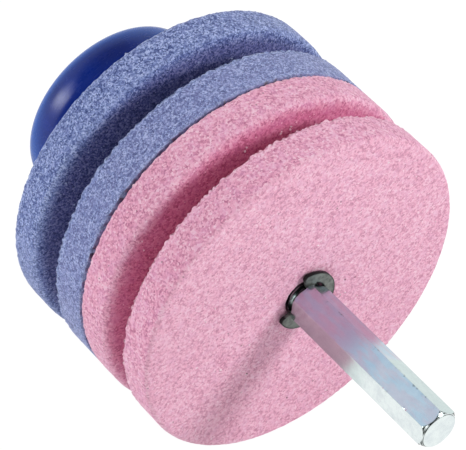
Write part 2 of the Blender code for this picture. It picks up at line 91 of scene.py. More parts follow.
class Body(Enum):
    """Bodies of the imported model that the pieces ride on."""

    SPINDLE = "stone_spindle"
    KNOB = "guide_knob"


class Form(Enum):
    """How the rows and columns of a grid close to a surface."""

    RING = "the last row joins the first, and the last column too"
    BALL = "the first and the last row are single points, and the last column joins the first"
    SHEET = "nothing joins"


# -------- Surfaces worked out as whole arrays


def span(node: str) -> Place:
    """Lowest and highest Y of a solid, in metres."""
    low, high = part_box(node)
    return low.y, high.y


def ease(share: np.ndarray) -> np.ndarray:
    """3t^2 - 2t^3 of each share t."""
    return share * share * (3 - 2 * share)


def smoothstep(low: float, high: float, values: np.ndarray) -> np.ndarray:
    """0 below the lower bound, 1 above the upper one, and eased between them."""
    return ease(np.clip((values - low) / (high - low), 0, 1))


def unit(rows: np.ndarray) -> np.ndarray:
    """Each row divided by its length."""
    return rows / np.linalg.norm(rows, axis=1, keepdims=True)


def compass(turn: np.ndarray | float) -> np.ndarray:
    """Cosine and sine of each angle, along the last axis."""
    return np.stack([np.cos(turn), np.sin(turn)], axis=-1)


def around(clock: np.ndarray, along: np.ndarray | float, radius: np.ndarray) -> np.ndarray:
    """Places round the spin axis: x = -radius sin(clock), y = along and z = radius cos(clock)."""
    return np.stack(np.broadcast_arrays(-radius * np.sin(clock), along, radius * np.cos(clock)), axis=-1)


def clocks(columns: int) -> np.ndarray:
    """Evenly spaced clock angles of one turn."""
    return np.arange(columns) * (TURN / columns)


def lattice_noise(points: np.ndarray, size: float, seed: int) -> np.ndarray:
    """Smooth random values between 0 and 1 that vary over a given length.

    Space is cut into cubes of that length, and each cube corner holds a random value. A point blends the
    eight corners of its cube, each with the product of the three smoothed shares of the way towards it.

    Args:
        points: Places, with x, y and z along the last axis.
        size: Edge of a cube.
        seed: Start of the random values.

    Returns:
        One value for each point.
    """
    period = 64
    table = np.random.default_rng(seed).random((period, period, period))
    scaled = points / size
    cell = np.floor(scaled).astype(int)
    share = ease(scaled - cell)
    total = np.zeros(points.shape[:-1])
    for corner in np.ndindex(2, 2, 2):
        weight = np.prod(np.where(np.array(corner) == 1, share, 1 - share), axis=-1)
        index = (cell + np.array(corner)) % period
        total += weight * table[index[..., 0], index[..., 1], index[..., 2]]
    return total


def rounded_outline(corners: list[Place], roundings: list[float], spacings: list[float],
                    arc_steps: int = 5) -> np.ndarray:
    """A closed outline whose corners are rounded and whose straights are cut into even steps.

    A corner is replaced by an arc that touches both sides at rounding / tan(half the corner's angle) from
    it. The straight from one arc to the next gets points about one spacing apart.

    Args:
        corners: (y, radius) of each corner, in order.
        roundings: Radius of each corner's arc.
        spacings: Distance between points on the side that follows each corner.
        arc_steps: Steps in each arc.

    Returns:
        The points of the outline as rows of (y, radius).
    """
    points = np.array(corners, float)
    ahead = unit(np.roll(points, -1, axis=0) - points)
    behind = -np.roll(ahead, 1, axis=0)
    half = np.arccos(np.clip(np.sum(ahead * behind, axis=1), -1, 1)) / 2
    reach = (np.array(roundings) / np.tan(half))[:, None]
    centres = points + unit(ahead + behind) * (np.array(roundings) / np.sin(half))[:, None]
    starts, ends = points + behind * reach, points + ahead * reach
    bend = np.linspace(0, 1, arc_steps + 1)[:, None]
    parts = []
    for corner, centre in enumerate(centres):
        chord = unit((starts[corner] - centre) * (1 - bend) + (ends[corner] - centre) * bend)
        parts.append(centre + chord * roundings[corner])
        start, end = parts[-1][-1], starts[(corner + 1) % len(points)]
        steps = max(1, round(float(np.linalg.norm(end - start)) / spacings[corner]))
        share = np.linspace(0, 1, steps + 1)[1:-1, None]
        parts.append(start * (1 - share) + end * share)
    return np.concatenate(parts)


def arc(centre: Place, size: float, start: float, end: float, steps: int) -> np.ndarray:
    """Points of (y, radius) on an arc; angle 0 points outwards and a right angle towards +Y."""
    turn = np.linspace(start, end, steps + 1)
    return np.stack([centre[0] + size * np.sin(turn), centre[1] + size * np.cos(turn)], axis=-1)


def lathe(outline: np.ndarray, columns: int) -> np.ndarray:
    """Carry an outline of (y, radius) once round the spin axis: one row of the grid for each point of it."""
    return around(clocks(columns), outline[:, :1], outline[:, 1:])


def added(name: str, data: bpy.types.ID) -> bpy.types.Object:
    """A new object with this data, at the origin, linked to the scene."""
    made = bpy.data.objects.new(name, data)
    bpy.context.scene.collection.objects.link(made)
    return made


def skin(name: str, points: np.ndarray, form: Form = Form.RING, sharp: bool = True,
         weights: dict[str, np.ndarray] | None = None) -> bpy.types.Object:
    """Turn a grid of points into a mesh object.

    Each point joins its neighbours in the next row and column to a quad. A row that is a single point is
    one vertex, and its band is made of triangles. A closed surface whose signed volume, the sum of
    p0 . (p1 x p2) over its triangles, comes out negative is turned the right way out.

    Args:
        name: Name of the object and of its mesh.
        points: Grid with x, y and z along the last axis.
        form: How the grid closes.
        sharp: Whether edges beyond the smooth limit are kept sharp.
        weights: Values for the grid's points, kept as attributes of the mesh.

    Returns:
        The object, at the origin, linked to the scene.
    """
    rows, columns = points.shape[:2]
    ids = np.arange(rows * columns).reshape(rows, columns)
    if form is Form.BALL:
        ids[0], ids[-1] = ids[0, 0], ids[-1, 0]
    below = np.roll(ids, -1, axis=0)
    quads = np.stack([ids, np.roll(ids, -1, 1), np.roll(below, -1, 1), below], axis=-1)
    triangles = np.zeros((0, 3), int)
    if form is Form.SHEET:
        quads = quads[:-1, :-1]
    elif form is Form.BALL:
        triangles = np.concatenate([quads[0][:, [0, 2, 3]], quads[-2][:, [0, 1, 2]]])
        quads = quads[1:-2]
    quads = quads.reshape(-1, 4)
    places = points.reshape(-1, 3)
    if form is not Form.SHEET:
        solid = np.concatenate([quads[:, [0, 1, 2]], quads[:, [0, 2, 3]], triangles])
        a, b, c = (places[solid[:, corner]] for corner in range(3))
        if np.sum(a * np.cross(b, c)) < 0:
            quads, triangles = quads[:, ::-1], triangles[:, ::-1]
    used = np.unique(np.concatenate([quads.ravel(), triangles.ravel()]))
    quads, triangles = np.searchsorted(used, quads), np.searchsorted(used, triangles)
    mesh = bpy.data.meshes.new(name)
    mesh.from_pydata(places[used].tolist(), [], quads.tolist() + triangles.tolist())
    for label, values in (weights or {}).items():
        layer = mesh.attributes.new(label, "FLOAT", "POINT")
        whole = np.broadcast_to(values, (rows, columns)).ravel()
        layer.data.foreach_set("value", whole[used].astype(np.float32))
    mesh.shade_smooth()
    if sharp:
        mesh.set_sharp_from_angle(angle=SMOOTH_LIMIT)
    return added(name, mesh)


def dress(piece: bpy.types.Object, material: bpy.types.Material, slot: Slot, body: Body,
          *nodes: str) -> None:
    """Give a piece its finish, put it on its body, and let it stand for solids of the model.

    Args:
        piece: The finished piece.
        material: Its material.
        slot: The record's slot for that material; not used.
        body: The body that it moves with.
        nodes: The solids that it stands for.
    """
    piece.data.materials.clear()
    piece.data.materials.append(material)
    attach(piece, body.value)
    if nodes:
        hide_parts(*nodes)
    LOG.info("%s: %d vertices, on %s", piece.name, len(piece.data.vertices), body.value)


# -------- Shader graphs


def linear(colour: Rgb) -> tuple[float, float, float, float]:
    """A colour as it reads on a screen, from 0 to 255, as linear light with full opacity."""
    red, green, blue = (((channel / 255 + 0.055) / 1.055) ** 2.4 if channel > 10 else channel / 3294.6
                        for channel in colour)
    return red, green, blue, 1.0


class Signal:
    """A value in a shader graph that arithmetic works on; every operation adds one Math node."""

    def __init__(self, graph: "Graph", socket: bpy.types.NodeSocket) -> None:
        """Wrap an output socket of a graph."""
        self.graph = graph
        self.socket = socket

    def _math(self, operation: str, first: Any, second: Any) -> "Signal":
        """The result of one Math node."""
        return self.graph.read(0, "ShaderNodeMath", {0: first, 1: second}, operation=operation)

    def __add__(self, other: "Signal | float") -> "Signal":
        """Sum of two values."""
        return self._math("ADD", self, other)

    __radd__ = __add__

    def __sub__(self, other: "Signal | float") -> "Signal":
        """This value less the other."""
        return self._math("SUBTRACT", self, other)

    def __rsub__(self, other: "Signal | float") -> "Signal":
        """The other value less this one."""
        return self._math("SUBTRACT", other, self)

    def __mul__(self, other: "Signal | float") -> "Signal":
        """Product of two values."""
        return self._math("MULTIPLY", self, other)

    __rmul__ = __mul__

    def top(self, other: "Signal | float") -> "Signal":
        """The greater of two values."""
        return self._math("MAXIMUM", self, other)

    def step(self, low: float, high: float, start: float = 0.0, end: float = 1.0) -> "Signal":
        """A smooth passage from one value to another while this one goes from low to high."""
        return self.graph.read("Result", "ShaderNodeMapRange", {
            "Value": self, "From Min": low, "From Max": high, "To Min": start, "To Max": end},
            interpolation_type="SMOOTHSTEP")


class Graph:
    """The node tree of one material or world, built from nothing."""

    def __init__(self, tree: bpy.types.NodeTree) -> None:
        """Empty a node tree and take it over."""
        tree.nodes.clear()
        self.tree = tree

    @classmethod
    def of_material(cls, name: str) -> tuple[bpy.types.Material, "Graph"]:
        """A new material and its graph."""
        material = bpy.data.materials.new(name)
        material.use_nodes = True
        return material, cls(material.node_tree)

    def node(self, kind: str, sockets: dict[Any, Any] | None = None, **settings: Any) -> bpy.types.Node:
        """Add a node.

        Args:
            kind: Type of the node.
            sockets: Numbers, colours, sockets or signals for its inputs, by name or place.
            settings: Its properties, set first; stops fills a colour ramp with (position, colour) pairs.

        Returns:
            The node.
        """
        made = self.tree.nodes.new(kind)
        for name, value in settings.items():
            if name == "stops":
                ramp = made.color_ramp.elements
                while len(ramp) < len(value):
                    ramp.new(1.0)
                for element, (position, colour) in zip(ramp, value):
                    element.position, element.color = position, colour
            else:
                setattr(made, name, value)
        for name, value in (sockets or {}).items():
            value = value.socket if isinstance(value, Signal) else value
            if isinstance(value, bpy.types.NodeSocket):
                self.tree.links.new(value, made.inputs[name])
            else:
                made.inputs[name].default_value = value
        return made

    def read(self, output: str | int, kind: str, sockets: dict[Any, Any] | None = None,
             **settings: Any) -> Signal:
        """Add a node and read one of its outputs as a signal."""
        return Signal(self, self.node(kind, sockets, **settings).outputs[output])

    def place(self, stretch: Triple | None = None) -> bpy.types.NodeSocket:
        """Object coordinates, each multiplied by its stretch."""
        where = self.node("ShaderNodeTexCoord").outputs["Object"]
        if stretch is None:
            return where
        return self.node("ShaderNodeVectorMath", {0: where, 1: stretch}, operation="MULTIPLY").outputs[0]

    def noise(self, where: bpy.types.NodeSocket, size: float, detail: float = 2.0,
              roughness: float = 0.5) -> Signal:
        """Cloudy noise whose patches are about one size across."""
        return self.read("Fac", "ShaderNodeTexNoise", {
            "Vector": where, "Scale": 1 / size, "Detail": detail, "Roughness": roughness})

    def cells(self, where: bpy.types.NodeSocket, size: float) -> tuple[Signal, Signal]:
        """Random cells of about one size: distance from each cell's middle, and a random value per cell."""
        made = self.node("ShaderNodeTexVoronoi", {"Vector": where, "Scale": 1 / size}).outputs
        tone = self.read("Red", "ShaderNodeSeparateColor", {"Color": made["Color"]})
        return Signal(self, made["Distance"]), tone

    def mix(self, share: Any, first: Any, second: Any, blend: str = "MIX") -> bpy.types.NodeSocket:
        """A colour between two, by a share of the second, or of what it blends the first to."""
        return self.node("ShaderNodeMix", {0: share, 6: first, 7: second}, data_type="RGBA",
                         blend_type=blend).outputs[2]

    def weight(self, label: str) -> Signal:
        """A value kept on the points of the mesh."""
        return self.read("Fac", "ShaderNodeAttribute", attribute_name=label)

    def bump(self, height: Signal, depth: float, strength: float) -> bpy.types.NodeSocket:
        """A normal that a height pattern tilts."""
        made = self.node("ShaderNodeBump", {"Strength": strength, "Distance": depth, "Height": height})
        return made.outputs["Normal"]


# -------- Finishes


@dataclass(frozen=True)
class Finish:
    """What every finish shares: a material of its own name that ends in one Principled surface.

    Attributes:
        name: Name of the material.
    """

    name: str

    def surface(self, graph: Graph) -> dict[str, Any]:
        """The inputs of the Principled surface, worked out in a finish's own way."""
        raise NotImplementedError

    def material(self) -> bpy.types.Material:
        """A new material with this finish."""
        material, graph = Graph.of_material(self.name)
        shader = graph.node("ShaderNodeBsdfPrincipled", self.surface(graph))
        graph.node("ShaderNodeOutputMaterial", {"Surface": shader.outputs[0]})
        return material


@dataclass(frozen=True)
class SinteredAbrasive(Finish):
    """Coloured grains fused into a wheel, with a few pale crystals and dark pits.

    Attributes:
        deep: Colour between and under the grains.
        body: Colour of most grains.
        pale: Colour of the palest grains.
        wear_and_highlight: Colour of rubbed edges, which also serves as a painted highlight along the rounded
            edges.
        pit: Colour of the pits.
        tinge: Colour that some broad patches lean to.
        raw: Painted shade: a tint multiplied over the colour deep in the groove and along the seam where the
            wheels meet.
        dust: Colour of the dust that lies on part of it.
        grain: Size of a grain.
        relief: Depth of the grainy surface.
        contrast: How far single grains differ in tone.
        patchy: How far broad patches differ in tone.
    """

    deep: Rgb
    body: Rgb
    pale: Rgb
    wear_and_highlight: Rgb
    pit: Rgb
    tinge: Rgb
    raw: Rgb
    dust: Rgb
    grain: float = 0.30 * MM
    relief: float = 0.05 * MM
    contrast: float = 0.5
    patchy: float = 1.0

    def surface(self, graph: Graph) -> dict[str, Any]:
        """Tone runs from deep to pale: a random value per grain, fine noise, broad patches and the dark
        joints between grains, added up. Patches of another tinge, worn edges lightened further by a painted
        highlight, dust, painted shade in the groove and the seam, crystals and pits are laid over it."""
        where = graph.place()
        distance, single = graph.cells(where, self.grain)
        fine = graph.noise(where, self.grain * 0.5, 2.0, 0.6)
        _, second = graph.cells(where, self.grain * 1.8)
        broad = graph.noise(where, self.grain * 5, 3.0, 0.6)
        drift = graph.noise(where, self.grain * 30, 1.0)
        grainy = (single + second * 0.45 - 0.725) * self.contrast + (fine - 0.5) * self.contrast
        patches = (broad - 0.5) * (self.patchy * 0.26) + (drift - 0.5) * (self.patchy * 0.20)
        tone = grainy + patches - (distance - 0.35) * (self.contrast * 0.1) + 0.48
        colour = graph.node("ShaderNodeValToRGB", {0: tone}, stops=[
            (0.0, linear(self.deep)), (0.48, linear(self.body)), (1.0, linear(self.pale))])
        crystal_reach, crystal = graph.cells(where, self.grain * 1.5)
        crystals = crystal.step(0.94, 0.96) * (1 - crystal_reach.step(0.14, 0.36))
        pit_reach, pit = graph.cells(where, self.grain * 2.1)
        pits = pit.step(0.988, 0.996) * (1 - pit_reach.step(0.12, 0.34))
        # Partly real wear and partly painted highlight: the edges are paler where their rounding catches
        # light.
        wear_and_highlight_share = graph.weight("worn_edge") * (0.25 + fine * 0.75)
        toned = graph.mix(broad.step(0.44, 0.68) * 0.3, colour.outputs[0], linear(self.tinge))
        toned = graph.mix(wear_and_highlight_share * 0.6, toned, linear(self.wear_and_highlight))
        toned = graph.mix(graph.weight("dust") * (0.06 + broad * 0.26), toned, linear(self.dust))
        # Painted shade: deep in the groove and along the seam the colour is multiplied by a darker tint.
        toned = graph.mix(graph.weight("raw"), toned, linear(self.raw), "MULTIPLY")
        toned = graph.mix(crystals * 0.75, toned, linear(self.pale))
        toned = graph.mix(pits * 0.8, toned, linear(self.pit))
        height = single * 0.3 + second * 0.25 + fine * 0.8 + broad * 0.5 + crystals * 0.3 - pits
        return {
            "Base Color": toned,
            "Roughness": 0.92 - crystals * 0.4,
            "Specular IOR Level": 0.3,
            "Sheen Weight": 0.2,
            "Sheen Roughness": 0.5,
            "Normal": graph.bump(height, self.relief, 0.4),
        }


@dataclass(frozen=True)
class Grit(Finish):
    """A single hard crystal: glassy, slightly clouded.

    Attributes:
        colour: Colour of the crystal.
        cloud: Colour of its clouded parts.
        roughness: Roughness of its faces.
    """

    colour: Rgb
    cloud: Rgb
    roughness: float = 0.35

    def surface(self, graph: Graph) -> dict[str, Any]:
        """Two tones by fine noise, which also roughens the faces."""
        patches = graph.noise(graph.place(), 0.15 * MM, 2.0)
        return {
            "Base Color": graph.mix(patches.step(0.35, 0.65), linear(self.colour), linear(self.cloud)),
            "Roughness": patches * 0.3 + self.roughness,
            "Normal": graph.bump(patches, 0.02 * MM, 0.4),
        }


@dataclass(frozen=True)
class PlatedSteel(Finish):
    """Bright zinc plate on drawn bar, with faint draw lines, clouds and small pits.

    Attributes:
        bright: Colour of clean plate.
        clouded: Colour of clouded plate.
        mark: Colour of pits, nicks and grime along the corners.
        turned: Darkest colour of turned parts, along their lathe rings; its depth is partly painted dark
            reflection, mostly on the chamfers.
        lightly_dimmed: Colour painted on a facet whose reflection is dimmed a little: painted darker
            reflection.
        dull: Colour painted on a facet whose reflection is dimmed most: painted darker reflection.
        dim_streaks: Colour of the streaks in that painted dimming.
        roughness: Roughness of clean plate.
    """

    name: str = "zinc plate"
    bright: Rgb = (230, 239, 238)
    clouded: Rgb = (216, 225, 227)
    mark: Rgb = (96, 102, 100)
    turned: Rgb = (58, 64, 62)
    lightly_dimmed: Rgb = (184, 204, 202)
    dull: Rgb = (180, 203, 217)
    dim_streaks: Rgb = (192, 192, 205)
    roughness: float = 0.05

    def surface(self, graph: Graph) -> dict[str, Any]:
        """Clouds mix the two plate colours and roughen it; noise drawn out along Y gives the lines.

        Grime gathers in spots along the corners, and turned parts are darker, rougher and ringed; their
        darkness is partly painted dark reflection. Each facet, and more so towards the wheels, is painted
        dimmer: painted darker reflection.
        """
        where = graph.place()
        clouds = graph.noise(where, 1.6 * MM, 4.0, 0.6)
        speckle = graph.noise(where, 0.22 * MM, 2.0)
        lines = graph.noise(graph.place((1, 0.03, 1)), 0.10 * MM, 2.0)
        wobble = graph.noise(where, 3.2 * MM, 1.0)
        pit_reach, pit = graph.cells(where, 0.9 * MM)
        pits = pit.step(0.975, 0.985) * (1 - pit_reach.step(0.06, 0.16))
        colour = graph.mix(clouds.step(0.35, 0.7), linear(self.bright), linear(self.clouded))
        # Painted reflection: a weight per facet, greater towards the wheels, mixes the plate towards dimmer
        # streaked colours so that it reflects darker.
        streaks = graph.noise(graph.place((1, 0.3, 1)), 1.3 * MM, 3.0, 0.6)
        dull = graph.weight("dull")
        reflection_dimming = graph.mix(streaks.step(0.38, 0.60), linear(self.dull), linear(self.dim_streaks))
        reflection_dimming = graph.mix(dull.step(0.72, 0.80), linear(self.lightly_dimmed), reflection_dimming)
        colour = graph.mix(dull * (0.8 + clouds * 0.4), colour, reflection_dimming)
        colour = graph.mix(pits * 0.6, colour, linear(self.mark))
        grime = graph.weight("corner") * graph.noise(where, 0.7 * MM, 3.0, 0.7).step(0.54, 0.68)
        colour = graph.mix(grime * 0.7, colour, linear(self.mark))
        turned = graph.weight("turned")
        rings = graph.noise(graph.place((0.05, 1, 0.05)), 0.13 * MM, 1.0)
        # Partly painted reflection: the turned parts, chamfers among them, are darkened along their rings to
        # read as dark reflections.
        colour = graph.mix(turned * rings.step(0.72, 0.46), colour, linear(self.turned))
        height = lines * 0.35 + speckle * 0.15 + wobble * 2.2 - pits * 0.8 + turned * rings * 4
        return {
            "Base Color": colour,
            "Metallic": 1.0,
            "Roughness": clouds * 0.09 + speckle * 0.04 + turned * 0.14 + dull * 0.08 + self.roughness,
            "Normal": graph.bump(height, 0.010 * MM, 0.5),
        }


@dataclass(frozen=True)
class SpringSteel(Finish):
    """Oiled dark spring steel, with painted shade that makes it nearly black along its outline and side
    walls.

    Attributes:
        flat: Colour of the flat sides.
        oily: Colour of the stained patches.
        edge_shade: Colour of the painted shade along the outline and on the side walls.
    """

    name: str = "phosphated spring steel"
    flat: Rgb = (122, 127, 122)
    oily: Rgb = (88, 92, 88)
    edge_shade: Rgb = (28, 30, 29)

    def surface(self, graph: Graph) -> dict[str, Any]:
        """Stains mix the flat tones; painted shade, kept as an attribute, darkens it towards the outline and
        on the side walls.
        """
        where = graph.place()
        stains = graph.noise(where, 0.9 * MM, 4.0, 0.6)
        rough = graph.noise(where, 0.18 * MM, 2.0)
        # Painted shade: darker towards the outline, and black on the side walls.
        edge = graph.weight("sheared_edge")
        colour = graph.mix(stains.step(0.4, 0.68), linear(self.flat), linear(self.oily))
        colour = graph.mix(edge.step(0.35, 0.95), colour, linear(self.edge_shade))
        return {
            "Base Color": colour,
            "Metallic": 0.75,
            "Roughness": rough * 0.25 + 0.38,
            "Normal": graph.bump(rough + stains * 0.6, 0.012 * MM, 0.6),
        }


@dataclass(frozen=True)
class MouldedPlastic(Finish):
    """Glossy moulded plastic with faint flow waves and rubbed-in hairlines.

    Attributes:
        body: Colour of the plastic.
        flow: Colour of its paler flow lines.
        edge: Colour painted where it is seen from the side: a painted rim of light.
        roughness: Roughness of the polished face.
    """

    name: str = "blue moulding"
    body: Rgb = (3, 34, 122)
    flow: Rgb = (6, 50, 150)
    edge: Rgb = (15, 86, 182)
    roughness: float = 0.19

    def surface(self, graph: Graph) -> dict[str, Any]:
        """Slow clouds vary the colour; noise drawn out round the axis gives hairlines in the gloss.

        A layer weight makes it paler where it is seen from the side: a painted rim of light.
        """
        where = graph.place()
        flow = graph.noise(where, 9 * MM, 3.0)
        grazing = graph.read("Facing", "ShaderNodeLayerWeight", {"Blend": 0.5})
        body = graph.mix(flow.step(0.3, 0.7), linear(self.body), linear(self.flow))
        haze = graph.noise(where, 1.1 * MM, 4.0, 0.6)
        hairs = graph.noise(graph.place((0.25, 6.0, 0.25)), 0.8 * MM, 2.0)
        # Painted light: the base colour turns paler and bluer at a grazing view.
        return {
            "Base Color": graph.mix(grazing.step(0.10, 0.58), body, linear(self.edge)),
            "Roughness": haze * 0.10 + hairs * 0.05 + self.roughness,
            "IOR": 1.5,
            "Normal": graph.bump(flow * 3.0 + haze * 0.3 + hairs * 0.2, 0.02 * MM, 0.35),
        }


@dataclass(frozen=True)
class FibreBoard(Finish):
    """Pressed brown board of paper fibres.

    Attributes:
        dark: Colour of its darker fibres.
        light: Colour of its lighter fibres.
    """

    name: str = "pressed fibre"
    dark: Rgb = (96, 72, 50)
    light: Rgb = (142, 112, 82)

    def surface(self, graph: Graph) -> dict[str, Any]:
        """Two layers of noise, drawn out along X and along Z, cross like fibres."""
        fibres = (graph.noise(graph.place((0.2, 1, 1)), 0.2 * MM, 3.0)
                  + graph.noise(graph.place((1, 1, 0.2)), 0.2 * MM, 3.0))
        return {
            "Base Color": graph.mix(fibres.step(0.7, 1.3), linear(self.dark), linear(self.light)),
            "Roughness": fibres * 0.1 + 0.8,
            "Normal": graph.bump(fibres, 0.03 * MM, 0.6),
        }


@dataclass(frozen=True)
class Nylon(Finish):
    """Natural nylon, slightly waxy, with machining rings.

    Attributes:
        body: Colour of the nylon.
        handled: Colour where it has picked up dirt.
    """

    name: str = "natural nylon"
    body: Rgb = (228, 226, 216)
    handled: Rgb = (206, 201, 186)

    def surface(self, graph: Graph) -> dict[str, Any]:
        """Patches of handling over the body colour, and a fine grain in the relief."""
        where = graph.place()
        patches = graph.noise(where, 1.4 * MM, 3.0)
        grain = graph.noise(where, 0.12 * MM, 2.0)
        return {
            "Base Color": graph.mix(patches.step(0.45, 0.75), linear(self.body), linear(self.handled)),
            "Roughness": patches * 0.2 + 0.38,
            "Normal": graph.bump(grain, 0.01 * MM, 0.4),
        }


# -------- Pieces


@dataclass
class AbrasiveWheel:
    """A sintered wheel with one V groove between two lands.

    Attributes:
        node: The solid that it stands for.
        slot: Material slot of the record.
        finish: Its finish.
        front_land: Width of the land in front of the groove.
        rear_land: Width of the land behind the groove.
        face_spacing: Distance between points on the front and on the rear face.
        edge_roundings: Rounding of the front rim, of both lips of the groove and of the rear rim.
        chips: Depth of the chips along the same four edges.
        seed: Start of the random values.
        bore: Radius of the bore.
        groove_depth: Depth of the groove.
        groove_root: Width of the groove's flat root.
        small_rounding: Rounding of the groove's root and of the bore.
        edge_reach: How far wear, the painted edge highlight and chips reach from an edge.
        unevenness: Size and depth, in millimetres, of each layer of noise on the surface.
        dusty: Distances from the front between which the dust fades out.
        joined: Whether the front and the rear face lie against the other wheel.
        columns: Number of points round the wheel.
        surface: The finished grid of points, empty until the wheel is built.
    """

    node: str
    slot: Slot
    finish: SinteredAbrasive
    front_land: float
    rear_land: float
    face_spacing: Place
    edge_roundings: tuple[float, float, float, float]
    chips: tuple[float, float, float, float]
    seed: int
    bore: float = 3.05 * MM
    groove_depth: float = 8.0 * MM
    groove_root: float = 1.0 * MM
    small_rounding: float = 0.3 * MM
    edge_reach: float = 0.38 * MM
    unevenness: tuple[Place, ...] = ((4.0, 0.04), (0.9, 0.03), (0.42, 0.07))
    dusty: Place = (0.1 * MM, 0.6 * MM)
    joined: tuple[bool, bool] = (False, True)
    columns: int = 740
    surface: np.ndarray = field(default_factory=lambda: np.zeros((0, 0, 3)))

    def build(self) -> None:
        """Make the wheel and put it in the place of its solid.

        The outline is carried round the axis, and every point then moves inwards along the outline's normal
        by a sum of broad, middle and fine lattice noise. Near an edge it also moves by the chip depth,
        times a bell of the distance to that edge, times the sum of a fine noise and one that is zero over
        most of the edge.
        """
        front, back = span(self.node)
        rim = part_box(self.node)[1].z
        land_end = front + self.front_land
        land_start = back - self.rear_land
        middle = (land_end + land_start) / 2
        root = rim - self.groove_depth
        half_root = self.groove_root / 2
        first, lip, far_lip, last = self.edge_roundings
        small = self.small_rounding
        outline = rounded_outline(
            [(front, self.bore), (front, rim), (land_end, rim), (middle - half_root, root),
             (middle + half_root, root), (land_start, rim), (back, rim), (back, self.bore)],
            [small, first, lip, small, small, far_lip, last, small],
            [self.face_spacing[0], 0.46 * MM, 0.8 * MM, 0.5 * MM, 0.55 * MM, 0.46 * MM,
             self.face_spacing[1], 3.4 * MM], 4)
        tangent = unit(np.roll(outline, -1, axis=0) - np.roll(outline, 1, axis=0))
        # The outline runs outwards along the front face first, so its left side is the outer one.
        outward = np.stack([-tangent[:, 1], tangent[:, 0]], axis=-1)
        grid = lathe(outline, self.columns)
        normals = lathe(outward, self.columns)
        edges = np.array([(front, rim), (land_end, rim), (land_start, rim), (back, rim)])
        reach = np.linalg.norm(outline[:, None] - edges, axis=-1)
        sink = sum(lattice_noise(grid, size * MM, self.seed + layer) * depth * MM
                   for layer, (size, depth) in enumerate(self.unevenness))
        notch = smoothstep(0.50, 0.75, lattice_noise(grid, 0.8 * MM, self.seed + 3))
        nibble = smoothstep(0.25, 0.75, lattice_noise(grid, 0.34 * MM, self.seed + 4))
        bell = np.exp(-(reach / self.edge_reach) ** 2)
        sink += (bell @ np.array(self.chips))[:, None] * (notch * 0.45 + nibble)
        self.surface = grid - normals * sink[..., None]
        # Edge weight for real wear and for a painted highlight along the rounded edges.
        wear_and_highlight = np.clip(bell.sum(axis=1), 0, 1)
        along, below_rim, skin_depth = outline[:, 0], rim - outline[:, 1], 0.05 * MM
        dust = 1 - smoothstep(front + self.dusty[0], front + self.dusty[1], along)
        # Painted shade: weights that darken the colour deep in the groove and along the seam against the
        # other wheel.
        groove = smoothstep(0.2 * MM, 2.4 * MM, below_rim) * (along > land_end) * (along < land_start)
        on_face = np.where(along < middle, self.joined[0] * (along < front + skin_depth),
                           self.joined[1] * (along > back - skin_depth))
        seam = smoothstep(0.12 * MM, 0.4 * MM, below_rim) * on_face
        wheel = skin(self.node + "_wheel", self.surface, sharp=False, weights={
            "worn_edge": wear_and_highlight[:, None], "dust": dust[:, None], "raw": np.maximum(groove, seam)[:, None]})
        dress(wheel, self.finish.material(), self.slot, Body.SPINDLE, self.node)

    def scatter(self, name: str, count: int, size: float, material: bpy.types.Material) -> None:
        """Set small crystals half into the wheel at random points of its surface.

        Args:
            name: Name of the piece.
            count: Number of crystals.
            size: Mean width of a crystal.
            material: Their material.
        """
        # No crystal sits in the bore, and none reaches past the rim.
        draw = np.random.default_rng(self.seed + 5)
        places = self.surface.reshape(-1, 3)
        radius = np.hypot(places[:, 0], places[:, 2])
        outer = places[radius > self.bore * 1.8]
        centres = outer[draw.choice(len(outer), count, replace=False)]
        widths = size * draw.uniform(0.6, 1.3, count)
        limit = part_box(self.node)[1].z - widths * 0.62
        pull = np.minimum(1, limit / np.hypot(centres[:, 0], centres[:, 2]))
        centres = centres * np.stack([pull, np.ones(count), pull], axis=-1)
        dress(crystals(name, centres, widths, self.seed + 6), material, self.slot, Body.SPINDLE)


def crystals(name: str, centres: np.ndarray, widths: np.ndarray, seed: int) -> bpy.types.Object:
    """Many small crystals as one mesh.

    The base crystal is a double pyramid with two rings of five corners, the second ring turned half a step.
    Each copy is stretched along its own axes by random shares, turned by a random rotation (the orthogonal
    factor of a random matrix) and moved to its centre.

    Args:
        name: Name of the piece.
        centres: Place of each crystal.
        widths: Width of each crystal.
        seed: Start of the random values.

    Returns:
        The crystals.
    """
    draw = np.random.default_rng(seed)
    count = len(centres)
    step = np.arange(5)
    turn = step * (TURN / 5)
    lower = np.column_stack([compass(turn), 0 * turn - 0.35])
    upper = np.column_stack([compass(turn + math.pi / 5), 0 * turn + 0.35])
    base = np.concatenate([[[0, 0, -0.8]], lower, upper, [[0, 0, 0.8]]]) / 2
    following = (step + 1) % 5
    faces = np.concatenate([
        np.stack([0 * step, 1 + following, 1 + step], axis=-1),
        np.stack([1 + step, 1 + following, 6 + step], axis=-1),
        np.stack([1 + following, 6 + following, 6 + step], axis=-1),
        np.stack([6 + step, 6 + following, 0 * step + 11], axis=-1)])
    turns = np.linalg.qr(draw.normal(size=(count, 3, 3)))[0]
    turns *= np.sign(np.linalg.det(turns))[:, None, None]
    shapes = base * draw.uniform(0.65, 1.15, (count, 1, 3)) * widths[:, None, None]
    vertices = shapes @ turns + centres[:, None]
    every = faces + np.arange(count)[:, None, None] * len(base)
    mesh = bpy.data.meshes.new(name)
    mesh.from_pydata(vertices.reshape(-1, 3).tolist(), [], every.reshape(-1, 3).tolist())
    return added(name, mesh)


